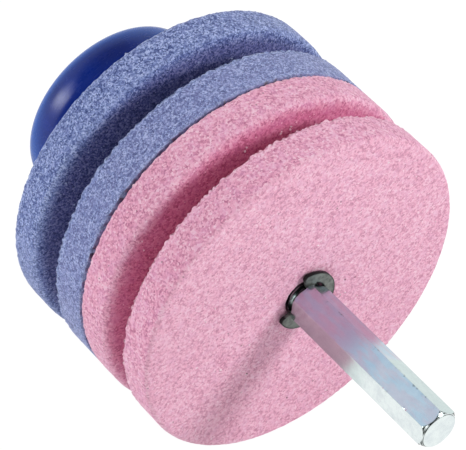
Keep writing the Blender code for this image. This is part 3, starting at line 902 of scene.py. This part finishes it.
@dataclass(frozen=True)
class PlacedGrains:
    """Single grains at known places on a wheel, as one piece.

    Attributes:
        name: Name of the piece.
        slot: Material slot of the record.
        grit: Their material.
        rows: Of each grain the clock angle in degrees, and the radius, Y and width in millimetres.
        seed: Start of the random values.
    """

    name: str
    slot: Slot
    grit: bpy.types.Material
    rows: tuple[tuple[float, float, float, float], ...]
    seed: int = 71

    def build(self) -> None:
        """Make the grains and put them on the spindle."""
        clock, *lengths = np.array(self.rows).T
        radius, along, widths = (length * MM for length in lengths)
        grains = crystals(self.name, around(np.radians(clock), along, radius), widths, self.seed)
        dress(grains, self.grit, self.slot, Body.SPINDLE)


@dataclass
class DriveShaft:
    """Hexagonal drill shank with a chamfered tip, turned down in steps behind its shoulder.

    Attributes:
        apothem: Half the width across flats.
        clocking: Clock angle of one flat's normal.
        tip_radius: Radius of the flat end.
        tip_chamfer: Length of the turned chamfer at the tip.
        shoulder_chamfer: Length of the turned chamfer at the shoulder.
        shoulder_inset: How far that chamfer cuts into the corners.
        groove_play: Room beside each clip.
        groove: Radius of the front clip's groove.
        body: Radius inside the wheels.
        thread: Outer radius of the thread.
        thread_pitch: Pitch of the thread.
        thread_depth: Depth of the thread.
        thread_run_in: How far the thread reaches into the rear wheel.
        journal: Radius that the knob turns on.
        end_groove: Radius of the end clip's groove.
        end_chamfer: Chamfer at the rear end.
        reflection_dimming: How much painted dimming of the reflection each of the six facets gets, from the
            clocking on.
        wheel_side_dimming: How much more painted dimming they get towards the wheels.
        corner_power: Power p of the norm that rounds the six corners.
        blend: Softness of the passage from flats to turned surfaces.
        dents: Clock angle in degrees, Y coordinate and depth of each dent.
        dent_reach: Radius of a dent's bell.
        wheel_side_span: Y coordinates between which that extra painted dimming sets in.
        grime_reach: How far the grime reaches from a corner.
        grimy_corner: Angle from the clocking to the corner that has the most grime.
        other_grime: Share of the grime that the other corners have.
        columns: Number of points round the shaft.
    """

    apothem: float = 3.0 * MM
    clocking: float = math.radians(21.3)
    tip_radius: float = 2.85 * MM
    tip_chamfer: float = 0.75 * MM
    shoulder_chamfer: float = 0.25 * MM
    shoulder_inset: float = 0.20 * MM
    groove_play: float = 0.20 * MM
    groove: float = 2.3 * MM
    body: float = 2.8 * MM
    thread: float = 2.5 * MM
    thread_pitch: float = 0.8 * MM
    thread_depth: float = 0.22 * MM
    thread_run_in: float = 1.0 * MM
    journal: float = 2.0 * MM
    end_groove: float = 1.55 * MM
    end_chamfer: float = 0.4 * MM
    reflection_dimming: tuple[float, ...] = (0.80, 0.0, 0.5, 0.2, 0.6, 0.72)
    wheel_side_dimming: float = 0.6
    corner_power: float = 150.0
    blend: float = 0.025 * MM
    dents: tuple[Triple, ...] = (
        (51.0, -38.1 * MM, 0.11 * MM), (-8.7, -38.4 * MM, 0.045 * MM), (51.3, -33.0 * MM, 0.065 * MM),
        (49.6, -32.5 * MM, 0.05 * MM))
    dent_reach: float = 0.26 * MM
    wheel_side_span: Place = (-31.0 * MM, -26.0 * MM)
    grime_reach: float = 0.24 * MM
    grimy_corner: float = math.radians(330)
    other_grime: float = 0.25
    columns: int = 192

    def path(self) -> np.ndarray:
        """Rows of (y, turned radius) from the middle of the tip to the middle of the rear end."""
        tip, end = span("drive_shaft")
        clip_front, clip_back = span("front_retaining_clip")
        end_clip_front, end_clip_back = span("end_retaining_clip")
        wheels_end, nut_end = span("coarse_stone")[1], span("clamp_nut")[1]
        corner = self.apothem / math.cos(math.pi / 6)
        clear = corner * 1.1
        shoulder = clip_front - self.groove_play
        chamfer = shoulder - self.shoulder_chamfer
        thread_start = wheels_end - self.thread_run_in
        groove_end = clip_back + self.groove_play
        end_groove, end_groove_back = end_clip_front - self.groove_play, end_clip_back + self.groove_play
        # Y, radius and, in millimetres, the spacing of the points up to the next corner.
        corners = [
            (tip, 0, 0.25), (tip, self.tip_radius, 0.05), (tip + self.tip_chamfer, corner, 0.05),
            (tip + self.tip_chamfer * 1.6, clear, 0.15), (chamfer - 0.6 * MM, clear, 0.1),
            (chamfer, clear, 0.1), (chamfer, corner, 0.05), (shoulder, corner - self.shoulder_inset, 0.12),
            (shoulder, self.groove, 0.2), (groove_end, self.groove, 0.2), (groove_end, self.body, 1.0),
            (thread_start, self.body, 0.1), (thread_start, self.thread, 0.09), (nut_end, self.thread, 0.2),
            (nut_end, self.journal, 0.5), (end_groove, self.journal, 0.2), (end_groove, self.end_groove, 0.2),
            (end_groove_back, self.end_groove, 0.2), (end_groove_back, self.journal, 0.2),
            (end - self.end_chamfer, self.journal, 0.1), (end, self.journal - self.end_chamfer, 0.3),
            (end, 0, 1.0)]
        parts = []
        for (along, radius, spacing), (next_along, next_radius, _) in zip(corners, corners[1:]):
            length = math.hypot(next_along - along, next_radius - radius)
            share = np.linspace(0, 1, max(1, round(length / (spacing * MM))) + 1)[:-1]
            parts.append(np.stack([along + (next_along - along) * share,
                                   radius + (next_radius - radius) * share], axis=-1))
        return np.concatenate([*parts, [[end, 0.0]]])

    def build(self, finish: bpy.types.Material) -> None:
        """Make the shaft and put it in the place of its solid.

        The hexagon's radius at a clock angle is the apothem divided by the p-norm of the three axes'
        cosines, so that a high power leaves flats with slightly rounded corners. The turned radius is a
        function of Y alone, and the surface lies at the soft minimum of both. A screw wave runs over the
        thread, and each dent is a bell that is taken off the radius.

        Args:
            finish: The plate's material.
        """
        path = self.path()
        along, turned = path[:, :1], path[:, 1:]
        clock = clocks(self.columns)
        axes = self.clocking + np.arange(3)[:, None] * math.pi / 3
        mean = np.sum(np.abs(np.cos(clock - axes)) ** self.corner_power, axis=0) ** (1 / self.corner_power)
        flats = self.apothem / mean
        radius = -self.blend * np.log(np.exp(-(flats - self.apothem) / self.blend)
                                      + np.exp(-(turned - self.apothem) / self.blend)) + self.apothem
        radius = np.where(turned < self.tip_radius * 0.98, np.minimum(turned, flats), radius)
        at_tip = along <= path[0, 0]
        radius = radius * np.where(at_tip, turned / self.tip_radius, 1)
        radius = np.where(at_tip, np.minimum(turned, radius), radius)
        screwed = (along > span("coarse_stone")[1] - self.thread_run_in) & (along < span("clamp_nut")[1])
        wave = np.abs(((along / self.thread_pitch - clock / TURN) % 1) * 2 - 1)
        radius = radius - np.where(screwed, wave * self.thread_depth, 0)
        mean_radius = self.apothem * 1.1
        for degrees, where, depth in self.dents:
            round_way = (clock - math.radians(degrees) + math.pi) % TURN - math.pi
            away = (along - where) ** 2 + (round_way * mean_radius) ** 2
            radius = radius - depth * np.exp(-away / self.dent_reach ** 2)
        step = math.pi / 3
        corner_radius = self.apothem * 1.15
        aside = np.abs((clock - self.clocking) % step - step / 2) * corner_radius
        cut = smoothstep(-0.02 * MM, 0.06 * MM, flats - turned) * ~at_tip
        corner = np.exp(-(aside / self.grime_reach) ** 2) * (1 - cut)
        corner *= np.where(np.abs(clock - self.clocking - self.grimy_corner) < 0.4, 1, self.other_grime)
        facet = (((clock - self.clocking + step / 2) % TURN) // step).astype(int)
        # Painted reflection: the facets are dimmed one by one, and more towards the wheels, so that they
        # reflect darker.
        wheel_side_dim = smoothstep(*self.wheel_side_span, along) * self.wheel_side_dimming
        dull = np.clip(np.array(self.reflection_dimming)[facet] + wheel_side_dim, 0, 1) * (1 - cut) * ~at_tip
        shaft = skin("hexagonal_shaft", around(clock, along, radius), Form.BALL,
                     weights={"corner": corner, "turned": cut, "dull": dull})
        dress(shaft, finish, Slot.PLATED_STEEL, Body.SPINDLE, "drive_shaft")


@dataclass
class RetainingClip:
    """The stamped E clip in the mouth of the front wheel.

    Attributes:
        node: The solid that it stands for.
        outer: Outer radius.
        grip: Radius of the three grips.
        clocking: Clock angle of the mouth's middle.
        throat: Half the mouth's width as a share of the grip radius.
        relief: How far the reliefs reach from grip to outside, as a share.
        lobe: Radius of the two lobes as a share of the outer radius.
        lobe_angle: Angle of a lobe from the middle of the mouth.
        relief_span: Angles between which a relief lies.
        flare: Angle over which a relief begins and ends.
        edge: Rounding left by the stamping tool.
        steps: Number of points along each edge of one half.
    """

    node: str = "front_retaining_clip"
    outer: float = 5.1 * MM
    grip: float = 2.5 * MM
    clocking: float = math.radians(56.5)
    throat: float = 0.84
    relief: float = 0.34
    lobe: float = 0.14
    lobe_angle: float = math.radians(60.5)
    relief_span: Place = (math.radians(82), math.radians(148))
    flare: float = math.radians(6)
    edge: float = 0.09 * MM
    steps: int = 90

    def half_outlines(self) -> tuple[np.ndarray, np.ndarray]:
        """The outer and the inner edge of one half, from the mouth to the back.

        The outer edge follows the lobe's circle from the point where the mouth touches it, and then the
        clip's circle. The inner edge is a circle whose radius swells from grip to relief and back, by a
        smooth step at each end of the relief.

        Returns:
            Both edges as rows of two coordinates, the first along the middle of the mouth.
        """
        throat_turn = math.asin(self.throat)
        start = self.grip * compass(throat_turn)
        small = self.outer * self.lobe
        centre = (self.outer - small) * compass(self.lobe_angle)
        reach = centre - start
        mouth_turn = math.atan2(reach[1], reach[0]) - math.asin(small / float(np.linalg.norm(reach)))
        lobe_steps = self.steps // 5
        rest_steps = self.steps - lobe_steps
        lobe_turn = np.linspace(mouth_turn - QUARTER, self.lobe_angle, lobe_steps, endpoint=False)
        rest = np.linspace(self.lobe_angle, math.pi, rest_steps)
        outside = np.concatenate([centre + small * compass(lobe_turn), self.outer * compass(rest)])
        behind_lobe = self.lobe_angle * 1.08
        turn = np.concatenate([np.linspace(throat_turn, behind_lobe, lobe_steps, endpoint=False),
                               np.linspace(behind_lobe, math.pi, rest_steps)])
        low, high = self.relief_span
        swell = smoothstep(low, low + self.flare, turn) * (1 - smoothstep(high - self.flare, high, turn))
        radius = self.grip + (self.outer - self.grip) * self.relief * swell
        return outside, radius[:, None] * compass(turn)

    def build(self, finish: bpy.types.Material) -> None:
        """Make the clip and put it in the place of its solid.

        The flat front is a strip between both edges: a point is the blend of the inner and the outer edge.
        A Solidify modifier gives the sheet its thickness and a Bevel rounds the stamped outline.

        Args:
            finish: The steel's material.
        """
        front, back = span(self.node)
        outside, inside = (np.concatenate([half * [1, -1], half[-2::-1]]) for half in self.half_outlines())
        share = np.array([0, 0.05, 0.15, 0.35, 0.5, 0.65, 0.85, 0.95, 1])[None, :, None]
        flat = inside[:, None] * (1 - share) + outside[:, None] * share
        turn = self.clocking + np.arctan2(flat[..., 1], flat[..., 0])
        radius = np.hypot(flat[..., 0], flat[..., 1])
        # Painted shade: the weight is 1 at the inner and outer outline, so the clip's side walls come out
        # dark.
        clip = skin("stamped_clip", around(turn, front, radius), Form.SHEET, sharp=False,
                    weights={"sheared_edge": np.abs(share[..., 0] * 2 - 1) ** 3})
        # The first polygon tells which way the strip faces; the sheet grows away from the drill.
        forward = clip.data.polygons[0].normal.y < 0
        solid = clip.modifiers.new("thickness", "SOLIDIFY")
        solid.thickness = back - front
        solid.offset = -1 if forward else 1
        solid.use_flip_normals = not forward
        bevel = clip.modifiers.new("stamped edge", "BEVEL")
        bevel.width = self.edge
        bevel.segments = 2
        bevel.limit_method = "ANGLE"
        dress(clip, finish, Slot.SPRING_STEEL, Body.SPINDLE, self.node)


@dataclass
class ClampRing:
    """A plain round ring of the clamp: blotter, washer or thrust washer.

    Attributes:
        node: The solid that it stands for.
        bore: Radius of its hole.
        rounding: Rounding of its edges.
        slot: Material slot of the record.
        columns: Number of points round the ring.
    """

    node: str
    bore: float
    rounding: float
    slot: Slot
    columns: int = 128

    def build(self, finish: bpy.types.Material) -> None:
        """Make the ring from a rounded rectangle carried round the axis.

        Args:
            finish: Its material.
        """
        front, back = span(self.node)
        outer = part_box(self.node)[1].z
        outline = rounded_outline(
            [(front, self.bore), (front, outer), (back, outer), (back, self.bore)],
            [self.rounding] * 4, [0.5 * MM] * 4)
        ring = skin(self.node + "_ring", lathe(outline, self.columns))
        dress(ring, finish, self.slot, Body.SPINDLE, self.node)


@dataclass
class GuideKnob:
    """The blue knob: moulded shell with neck, flare, rim and ball back, and a cap on its rear.

    Attributes:
        rim_radius: Largest radius.
        rim_rounding: Rounding of the rim towards the back.
        shoulder_rounding: Rounding of the rim towards the flare.
        rim_behind_wheel: Distance from the rear wheel's back to the middle of the rim.
        flare_angle: Slope at which the flare meets the rim.
        neck: Radius of the neck.
        neck_collar: Length of the straight neck.
        neck_rounding: Rounding of the neck's front edge.
        pocket: Radius of the pocket round the nut.
        hub_bore: Radius of the hole for the bushes.
        hub: Outer radius of the hub.
        hub_length: Length of the hub.
        bush_flange: Room for the front bush's flange in front of the hub.
        web: Thickness of the wall between pocket and cavity.
        cavity: Radius of the cavity.
        floor_share: Radius at which the cavity's floor turns up, as a share of the cavity's.
        floor_rise: How far it rises.
        cap_radius: Radius of the cap's seat.
        cap_edge: Thickness of the cap's edge.
        cap_gap: Clearance round the cap.
        cap_wall: Wall of the cap.
        skirt_length: Length of the cap's skirt.
        skirt_wall: Wall of the skirt.
        lip: Size of the broken edge round the cap.
        rib_width: Width of the four ribs.
        rib_drop: How far the ribs stay below the hub's end.
        rib_root: How far the ribs run into the plastic at both ends and at the floor.
        columns: Number of points round the knob.
    """

    rim_radius: float = 15.6 * MM
    rim_rounding: float = 2.2 * MM
    shoulder_rounding: float = 3.8 * MM
    rim_behind_wheel: float = 13.9 * MM
    flare_angle: float = math.radians(62)
    neck: float = 8.619 * MM
    neck_collar: float = 0.9 * MM
    neck_rounding: float = 0.5 * MM
    pocket: float = 5.319 * MM
    hub_bore: float = 3.25 * MM
    hub: float = 5.05 * MM
    hub_length: float = 6.0 * MM
    bush_flange: float = 1.2 * MM
    web: float = 2.0 * MM
    cavity: float = 12.2 * MM
    floor_share: float = 0.78
    floor_rise: float = 1.8 * MM
    cap_radius: float = 13.2 * MM
    cap_edge: float = 0.9 * MM
    cap_gap: float = 0.25 * MM
    cap_wall: float = 1.8 * MM
    skirt_length: float = 1.8 * MM
    skirt_wall: float = 1.2 * MM
    lip: float = 0.18 * MM
    rib_width: float = 1.6 * MM
    rib_drop: float = 1.2 * MM
    rib_root: float = 0.2 * MM
    columns: int = 224

    def __post_init__(self) -> None:
        """Work out the ball of the back: it touches the rim's rounding and ends at the crown."""
        self.front = span("knob_shell")[0]
        self.crown = span("knob_end_cap")[1]
        self.rim = span("coarse_stone")[1] + self.rim_behind_wheel
        self.rim_centre = self.rim_radius - self.rim_rounding
        rise = self.crown - self.rim
        self.ball = (rise ** 2 + self.rim_centre ** 2 - self.rim_rounding ** 2) / (
            2 * (rise - self.rim_rounding))
        self.ball_centre = self.crown - self.ball
        self.hub_front = span("nut_thrust_washer")[1] + self.bush_flange
        self.hub_back = self.hub_front + self.hub_length
        self.floor = self.hub_front + self.web
        self.ledge = self.ball_centre + math.sqrt(self.ball ** 2 - self.cap_radius ** 2) - self.cap_edge

    def back_arc(self, start: float, end: float, steps: int) -> np.ndarray:
        """Points of the back's ball between two angles from the spin axis."""
        return arc((self.ball_centre, 0), self.ball, QUARTER - start, QUARTER - end, steps)

    def shell(self, finish: bpy.types.Material) -> None:
        """Make the moulded shell.

        From neck to rim the radius grows as a power of the distance, chosen so that the flare meets the
        rim's rounding at the same slope. The rim is a wide arc towards the flare and a tighter one towards
        the back, which is a ball that touches it.

        Args:
            finish: The plastic's material.
        """
        flare_start = self.front + self.neck_collar
        shoulder = self.shoulder_rounding
        flare_end = self.rim - shoulder * math.sin(self.flare_angle)
        rise = self.rim_radius - shoulder * (1 - math.cos(self.flare_angle)) - self.neck
        power = math.tan(self.flare_angle) * (flare_end - flare_start) / rise
        share = np.linspace(0, 1, 49)[:-1]
        flare = np.stack([flare_start + (flare_end - flare_start) * share,
                          self.neck + rise * share ** power], axis=-1)
        tangent = math.asin(self.rim_centre / (self.ball - self.rim_rounding))
        seat_turn = math.asin(self.cap_radius / self.ball)
        outline = np.concatenate([
            [(self.hub_front, self.hub_bore), (self.hub_front, self.pocket), (self.front, self.pocket)],
            arc((self.front + self.neck_rounding, self.neck - self.neck_rounding), self.neck_rounding,
                -QUARTER, 0, 8),
            flare,
            arc((self.rim, self.rim_radius - shoulder), shoulder, -self.flare_angle, 0, 24),
            arc((self.rim, self.rim_centre), self.rim_rounding, 0, QUARTER - tangent, 24)[1:],
            self.back_arc(tangent, seat_turn, 6)[1:],
            [(self.ledge, self.cap_radius), (self.ledge, self.cavity),
             (self.floor + self.floor_rise, self.cavity), (self.floor, self.cavity * self.floor_share),
             (self.floor, self.hub), (self.hub_back, self.hub), (self.hub_back, self.hub_bore)]])
        shell = skin("moulded_knob", lathe(outline, self.columns))
        dress(shell, finish, Slot.PLASTIC, Body.KNOB, "knob_shell")

    def cap(self, finish: bpy.types.Material) -> None:
        """Make the cap: the ball's crown outside, a smaller ball inside, and a skirt between them.

        Args:
            finish: The plastic's material.
        """
        rim = self.cap_radius - self.cap_gap
        seat = self.ledge + self.cap_gap
        skirt_outer = self.cavity - self.cap_gap
        skirt_inner = skirt_outer - self.skirt_wall
        inner = self.ball - self.cap_wall
        outer_turn = math.asin(rim / self.ball)
        edge = self.ball_centre + self.ball * math.cos(outer_turn)
        outline = np.concatenate([
            self.back_arc(0, outer_turn - self.lip / self.ball, 40),
            [(edge - self.lip * 0.35, rim - self.lip * 0.25), (edge - self.lip, rim),
             (seat, rim), (seat, skirt_outer), (seat - self.skirt_length, skirt_outer),
             (seat - self.skirt_length, skirt_inner)],
            arc((self.ball_centre, 0), inner, QUARTER - math.asin(skirt_inner / inner), QUARTER, 20)])
        outline[[0, -1], 1] = 0
        cap = skin("knob_cap", lathe(outline, self.columns), Form.BALL)
        dress(cap, finish, Slot.PLASTIC, Body.KNOB, "knob_end_cap")

    def ribs(self, finish: bpy.types.Material) -> None:
        """Make the four ribs between hub and wall inside the knob.

        Each rib is a closed tube along the radius: a rounded rectangle of (y, width) carried from hub to
        wall, with both ends drawn together to a point inside the plastic.

        Args:
            finish: The plastic's material.
        """
        half, root = self.rib_width / 2, self.rib_root
        front, back = self.floor - root, self.hub_back - self.rib_drop
        section = rounded_outline([(front, -half), (back, -half), (back, half), (front, half)],
                                  [0.2 * MM] * 4, [1.0 * MM] * 4)
        middle = section.mean(axis=0)
        tip = root * 1.5
        reach = np.array([self.hub - tip, self.hub - root, self.cavity + root, self.cavity + tip])
        size = np.array([0, 1, 1, 0])
        tube = middle + (section - middle) * size[:, None, None]
        along, aside = tube[..., 0], tube[..., 1]
        radius = reach[:, None] + 0 * along
        places = ((aside, radius), (radius, -aside), (-aside, -radius), (-radius, aside))
        for number, (x, z) in enumerate(places, 1):
            rib = skin(f"knob_rib_{number}", np.stack([x, along, z], axis=-1), Form.BALL)
            dress(rib, finish, Slot.PLASTIC, Body.KNOB)


# -------- Studio


@dataclass(frozen=True)
class SoftLamp:
    """One soft area lamp that looks at the middle of the wheels.

    Attributes:
        name: Name of the lamp.
        towards: Direction from the wheels to the lamp.
        distance: Its distance.
        width: Its width.
        level: How bright a white surface that faces it becomes, where 1 is white.
    """

    name: str
    towards: Triple
    distance: float
    width: float
    level: float

    def build(self) -> None:
        """Make the lamp.

        The light that a disc of radiance L and area A gives at a distance d is L A / d^2, a white surface
        shows 1 / pi of it, and a lamp of power P has L = P / (pi A). So the power is level * (pi d)^2.
        """
        data = bpy.data.lights.new(self.name, "AREA")
        data.shape = "DISK"
        data.size = self.width
        data.energy = self.level * (math.pi * self.distance) ** 2
        lamp = added(self.name, data)
        towards = Vector(self.towards).normalized()
        lamp.location = towards * self.distance
        lamp.rotation_mode = "QUATERNION"
        lamp.rotation_quaternion = towards.to_track_quat("Z", "Y")


@dataclass(frozen=True)
class Studio:
    """Pale floor, white surroundings, two soft lamps and the camera.

    Attributes:
        lamps: The lamps.
        surround: Strength of the surroundings for diffuse light, before and behind the tool.
        horizon: Share of that strength at the horizon.
        ceiling: Share of it straight above.
        left: Share of it on the left, towards -X.
        camera_side: How bright gloss and metal show the open side of the studio, where the camera stands.
        dark_above: Direction of the unlit part of the ceiling, as gloss and metal show it.
        ceiling_glow: How bright they show that part.
        window: Direction of the tall soft window that gloss and metal show.
        window_level: How much brighter than the walls it is.
        floor_gap: How far the floor lies under the tool.
        floor_reach: Half the width of the floor.
        floor_colour: Colour of the floor for diffuse light.
        floor_white: Light that the floor shows of itself to the camera and in reflections.
        floor_shade: Share of the light on it that it shows besides.
        overhead: Colour of the surroundings overhead, as gloss and metal show them.
        azimuth: Camera's turn to the left of the view along +Y.
        elevation: Camera's height angle.
        lens: Focal length.
        sensor: Width of the sensor that it is for.
        offset: Camera's place from the middle of the front face: right, up and back.
    """

    lamps: tuple[SoftLamp, ...] = (
        SoftLamp("key", (0.487, -0.70, 0.522), 0.38, 0.11, 0.50),
        SoftLamp("fill", (-0.785, -0.167, 0.599), 0.9, 0.46, 0.12),
    )
    surround: tuple[float, float] = (0.50, 1.67)
    left: float = 1.55
    horizon: float = 1.14
    ceiling: float = 0.44
    camera_side: float = 0.12
    dark_above: Triple = (0.0, -0.45, 0.89)
    ceiling_glow: float = 0.30
    window: Triple = (-0.84, -0.27, 0.47)
    window_level: float = 7.0
    floor_gap: float = 0.02 * MM
    floor_reach: float = 3.0
    floor_colour: float = 0.9
    floor_white: float = 0.97
    floor_shade: float = 0.09
    overhead: tuple[float, float, float, float] = (0.84, 0.90, 0.98, 1.0)
    azimuth: float = math.radians(-36.4)
    elevation: float = math.radians(46.5)
    lens: float = 220.8
    sensor: float = 36.0
    offset: Triple = (-10.25 * MM, 10.53 * MM, 417.55 * MM)

    def axes(self) -> tuple[Vector, Vector, Vector]:
        """Directions to the right, up and back of the camera."""
        right = Vector((math.cos(self.azimuth), math.sin(self.azimuth), 0))
        back = Vector((math.sin(self.azimuth) * math.cos(self.elevation),
                       -math.cos(self.azimuth) * math.cos(self.elevation), math.sin(self.elevation)))
        return right, back.cross(right), back

    @staticmethod
    def rays(graph: Graph) -> tuple[Signal, Signal]:
        """1 for rays of the camera, of gloss and through glass; and 1 for rays of gloss alone."""
        kinds = graph.node("ShaderNodeLightPath").outputs
        glossy = Signal(graph, kinds["Is Glossy Ray"])
        camera = Signal(graph, kinds["Is Camera Ray"])
        return camera.top(glossy).top(Signal(graph, kinds["Is Transmission Ray"])), glossy

    def floor(self) -> None:
        """A wide plane that the wheels lie on: white to the eye, with the object's soft shadow."""
        sides = np.array([-self.floor_reach, self.floor_reach])
        x, y = np.meshgrid(sides, sides)
        level = MODEL_BOX[0].z - self.floor_gap
        floor = skin("floor", np.stack([x, y, 0 * x + level], axis=-1), Form.SHEET)
        material, graph = Graph.of_material("studio floor")
        light, paint = (graph.node("ShaderNodeBsdfDiffuse", {"Color": (grey, grey, grey, 1)})
                        for grey in (self.floor_colour, self.floor_shade))
        glow = graph.node("ShaderNodeEmission", {"Strength": self.floor_white})
        seen = graph.node("ShaderNodeAddShader", {0: glow.outputs[0], 1: paint.outputs[0]})
        both = graph.node("ShaderNodeMixShader", {
            0: self.rays(graph)[0], 1: light.outputs[0], 2: seen.outputs[0]})
        graph.node("ShaderNodeOutputMaterial", {"Surface": both.outputs[0]})
        floor.data.materials.append(material)

    def surroundings(self) -> None:
        """White surroundings, darker overhead, and bluer there where gloss and metal show them.

        Their diffuse light is stronger from behind the tool, so that the lands are bright and the walls
        of the grooves, which face forwards, are deep in shade.
        """
        world = bpy.data.worlds.new("studio")
        world.use_nodes = True
        graph = Graph(world.node_tree)
        where = graph.node("ShaderNodeTexCoord").outputs["Generated"]
        parts = graph.node("ShaderNodeSeparateXYZ", {0: where}).outputs
        east, north, height = (Signal(graph, parts[axis]) for axis in "XYZ")
        shown, glossy = self.rays(graph)
        sky = graph.mix(height.step(0.25, 0.75), (1, 1, 1, 1), self.overhead)
        across = Vector((0, 1, 0)).cross(Vector(self.window))
        directions = (self.axes()[2], Vector(self.dark_above), Vector(self.window), across)
        open_side, above, window, beside = (
            graph.read("Value", "ShaderNodeVectorMath", {0: where, 1: towards.normalized()},
                       operation="DOT_PRODUCT") for towards in directions)
        unlit = 1 - open_side.step(0.88, 0.97) * glossy * (1 - self.camera_side)
        unlit = unlit * (1 - above.step(0.57, 0.94) * glossy * (1 - self.ceiling_glow))
        shine = window.step(0.80, 0.985) * (beside * beside).step(0, 0.045, 1, 0) * glossy * self.window_level
        seen = graph.node("ShaderNodeBackground", {"Color": sky, "Strength": unlit + shine})
        front, behind = self.surround
        level = north.step(-0.05, 0.45, front, behind)
        dimming = height.step(0.12, 0.80, self.horizon, self.ceiling)
        sideways = east.step(-0.90, 0.20, self.left, 1.0)
        light = graph.node("ShaderNodeBackground", {"Strength": level * dimming * sideways})
        both = graph.node("ShaderNodeMixShader", {
            0: shown, 1: light.outputs[0], 2: seen.outputs[0]})
        graph.node("ShaderNodeOutputWorld", {"Surface": both.outputs[0]})
        bpy.context.scene.world = world

    def camera(self) -> None:
        """The camera, placed from the middle of the front wheel's face."""
        right, up, back = self.axes()
        face = Vector((0, span("fine_stone")[0], 0))
        place = face + right * self.offset[0] + up * self.offset[1] + back * self.offset[2]
        data = bpy.data.cameras.new("photograph")
        data.lens = self.lens
        data.sensor_width = self.sensor
        data.clip_start = 0.01
        camera = added("photograph", data)
        camera.matrix_world = Matrix((
            (right.x, up.x, back.x, place.x), (right.y, up.y, back.y, place.y),
            (right.z, up.z, back.z, place.z), (0, 0, 0, 1)))
        bpy.context.scene.camera = camera

    def build(self) -> None:
        """Set up the whole studio."""
        bpy.context.scene.view_settings.view_transform = "Standard"
        self.floor()
        self.surroundings()
        for lamp in self.lamps:
            lamp.build()
        self.camera()


def main() -> None:
    """Build every sub-assembly and dress the solids that stay."""
    logging.basicConfig(level=logging.INFO, format="%(name)s: %(message)s")
    Studio().build()

    pink = SinteredAbrasive("pink sintered grain", deep=(190, 108, 144), body=(240, 169, 199),
                            pale=(255, 221, 235), wear_and_highlight=(252, 210, 225), pit=(128, 88, 92),
                            tinge=(228, 158, 203), raw=(230, 182, 205), dust=(226, 192, 202),
                            grain=0.28 * MM, contrast=0.66)
    blue = SinteredAbrasive("blue sintered grain", deep=(54, 70, 130), body=(119, 137, 196),
                            pale=(192, 205, 244), wear_and_highlight=(176, 189, 226), pit=(44, 50, 72),
                            tinge=(124, 134, 196), raw=(186, 174, 196), dust=(163, 157, 196),
                            grain=0.21 * MM, contrast=0.96, patchy=0.2)
    fine = AbrasiveWheel(
        "fine_stone", Slot.PINK_ABRASIVE, pink, front_land=6.0 * MM, rear_land=5.8 * MM,
        face_spacing=(0.8 * MM, 3.0 * MM), edge_roundings=(0.80 * MM, 0.16 * MM, 1.20 * MM, 0.34 * MM),
        chips=(0.05 * MM, 0.46 * MM, 0.12 * MM, 0.26 * MM), seed=11)
    coarse = AbrasiveWheel(
        "coarse_stone", Slot.BLUE_ABRASIVE, blue, front_land=6.4 * MM, rear_land=5.5 * MM,
        face_spacing=(3.0 * MM, 0.9 * MM), edge_roundings=(0.17 * MM, 0.18 * MM, 1.10 * MM, 0.40 * MM),
        chips=(0.10 * MM, 0.34 * MM, 0.12 * MM, 0.14 * MM), seed=31, dusty=(5.0 * MM, 6.4 * MM),
        joined=(True, False))
    fine.build()
    coarse.build()
    pale_grit = Grit("pale crystal", (252, 232, 240), (240, 200, 216)).material()
    blue_grit = Grit("blue crystal", (186, 196, 226), (140, 152, 196)).material()
    dark_grit = Grit("dark inclusion", (84, 58, 62), (118, 80, 84), 0.6).material()
    green_grit = Grit("green inclusion", (58, 72, 62), (96, 104, 96), 0.6).material()
    fine.scatter("pink_grit", 220, 0.30 * MM, pale_grit)
    coarse.scatter("blue_grit", 260, 0.30 * MM, blue_grit)
    PlacedGrains("standing_grains", Slot.PINK_ABRASIVE, pale_grit, (
        (8.2, 24.7, -1.7, 0.52), (7.2, 25.1, -1.6, 0.36), (-6.6, 24.4, -1.7, 0.46), (-6.8, 24.8, -1.7, 0.34),
        (-10.6, 24.5, -1.7, 0.50), (-10.9, 24.9, -1.6, 0.36), (1.0, 25.6, -1.0, 0.36))).build()
    PlacedGrains("dark_grains", Slot.PINK_ABRASIVE, dark_grit, (
        (-99.2, 7.93, -11.25, 0.34), (-102.0, 9.96, -11.25, 0.26), (70.6, 28.0, 2.2, 0.26),
        (172.9, 21.15, -11.25, 0.34), (134.8, 14.37, -11.25, 0.34))).build()
    PlacedGrains("spot_grains", Slot.BLUE_ABRASIVE, green_grit, (
        (33.6, 27.95, 18.5, 0.34), (35.2, 27.96, 18.9, 0.30), (34.5, 27.95, 19.3, 0.34),
        (36.4, 27.97, 19.2, 0.28), (35.7, 27.97, 18.3, 0.26), (33.2, 27.97, 19.6, 0.26))).build()

    plate = PlatedSteel().material()
    dark_steel = SpringSteel().material()
    nylon = Nylon().material()
    plastic = MouldedPlastic().material()
    DriveShaft().build(plate)
    RetainingClip().build(dark_steel)
    ClampRing("rear_blotter", 2.75 * MM, 0.12 * MM, Slot.FIBRE).build(FibreBoard().material())
    ClampRing("clamp_washer", 2.75 * MM, 0.15 * MM, Slot.PLATED_STEEL).build(plate)
    ClampRing("nut_thrust_washer", 2.15 * MM, 0.10 * MM, Slot.NYLON).build(nylon)
    ClampRing("end_thrust_washer", 2.15 * MM, 0.10 * MM, Slot.NYLON).build(nylon)
    knob = GuideKnob()
    knob.shell(plastic)
    knob.cap(plastic)
    knob.ribs(plastic)

    kept = {"spring_washer": plate, "clamp_nut": plate, "end_retaining_clip": dark_steel,
            "knob_front_bush": nylon, "knob_rear_bush": nylon}
    for node, material in kept.items():
        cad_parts[node].data.materials.clear()
        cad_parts[node].data.materials.append(material)
        LOG.info("%s: solid kept, finish %s", node, material.name)


if __name__ == "__main__":
    main()
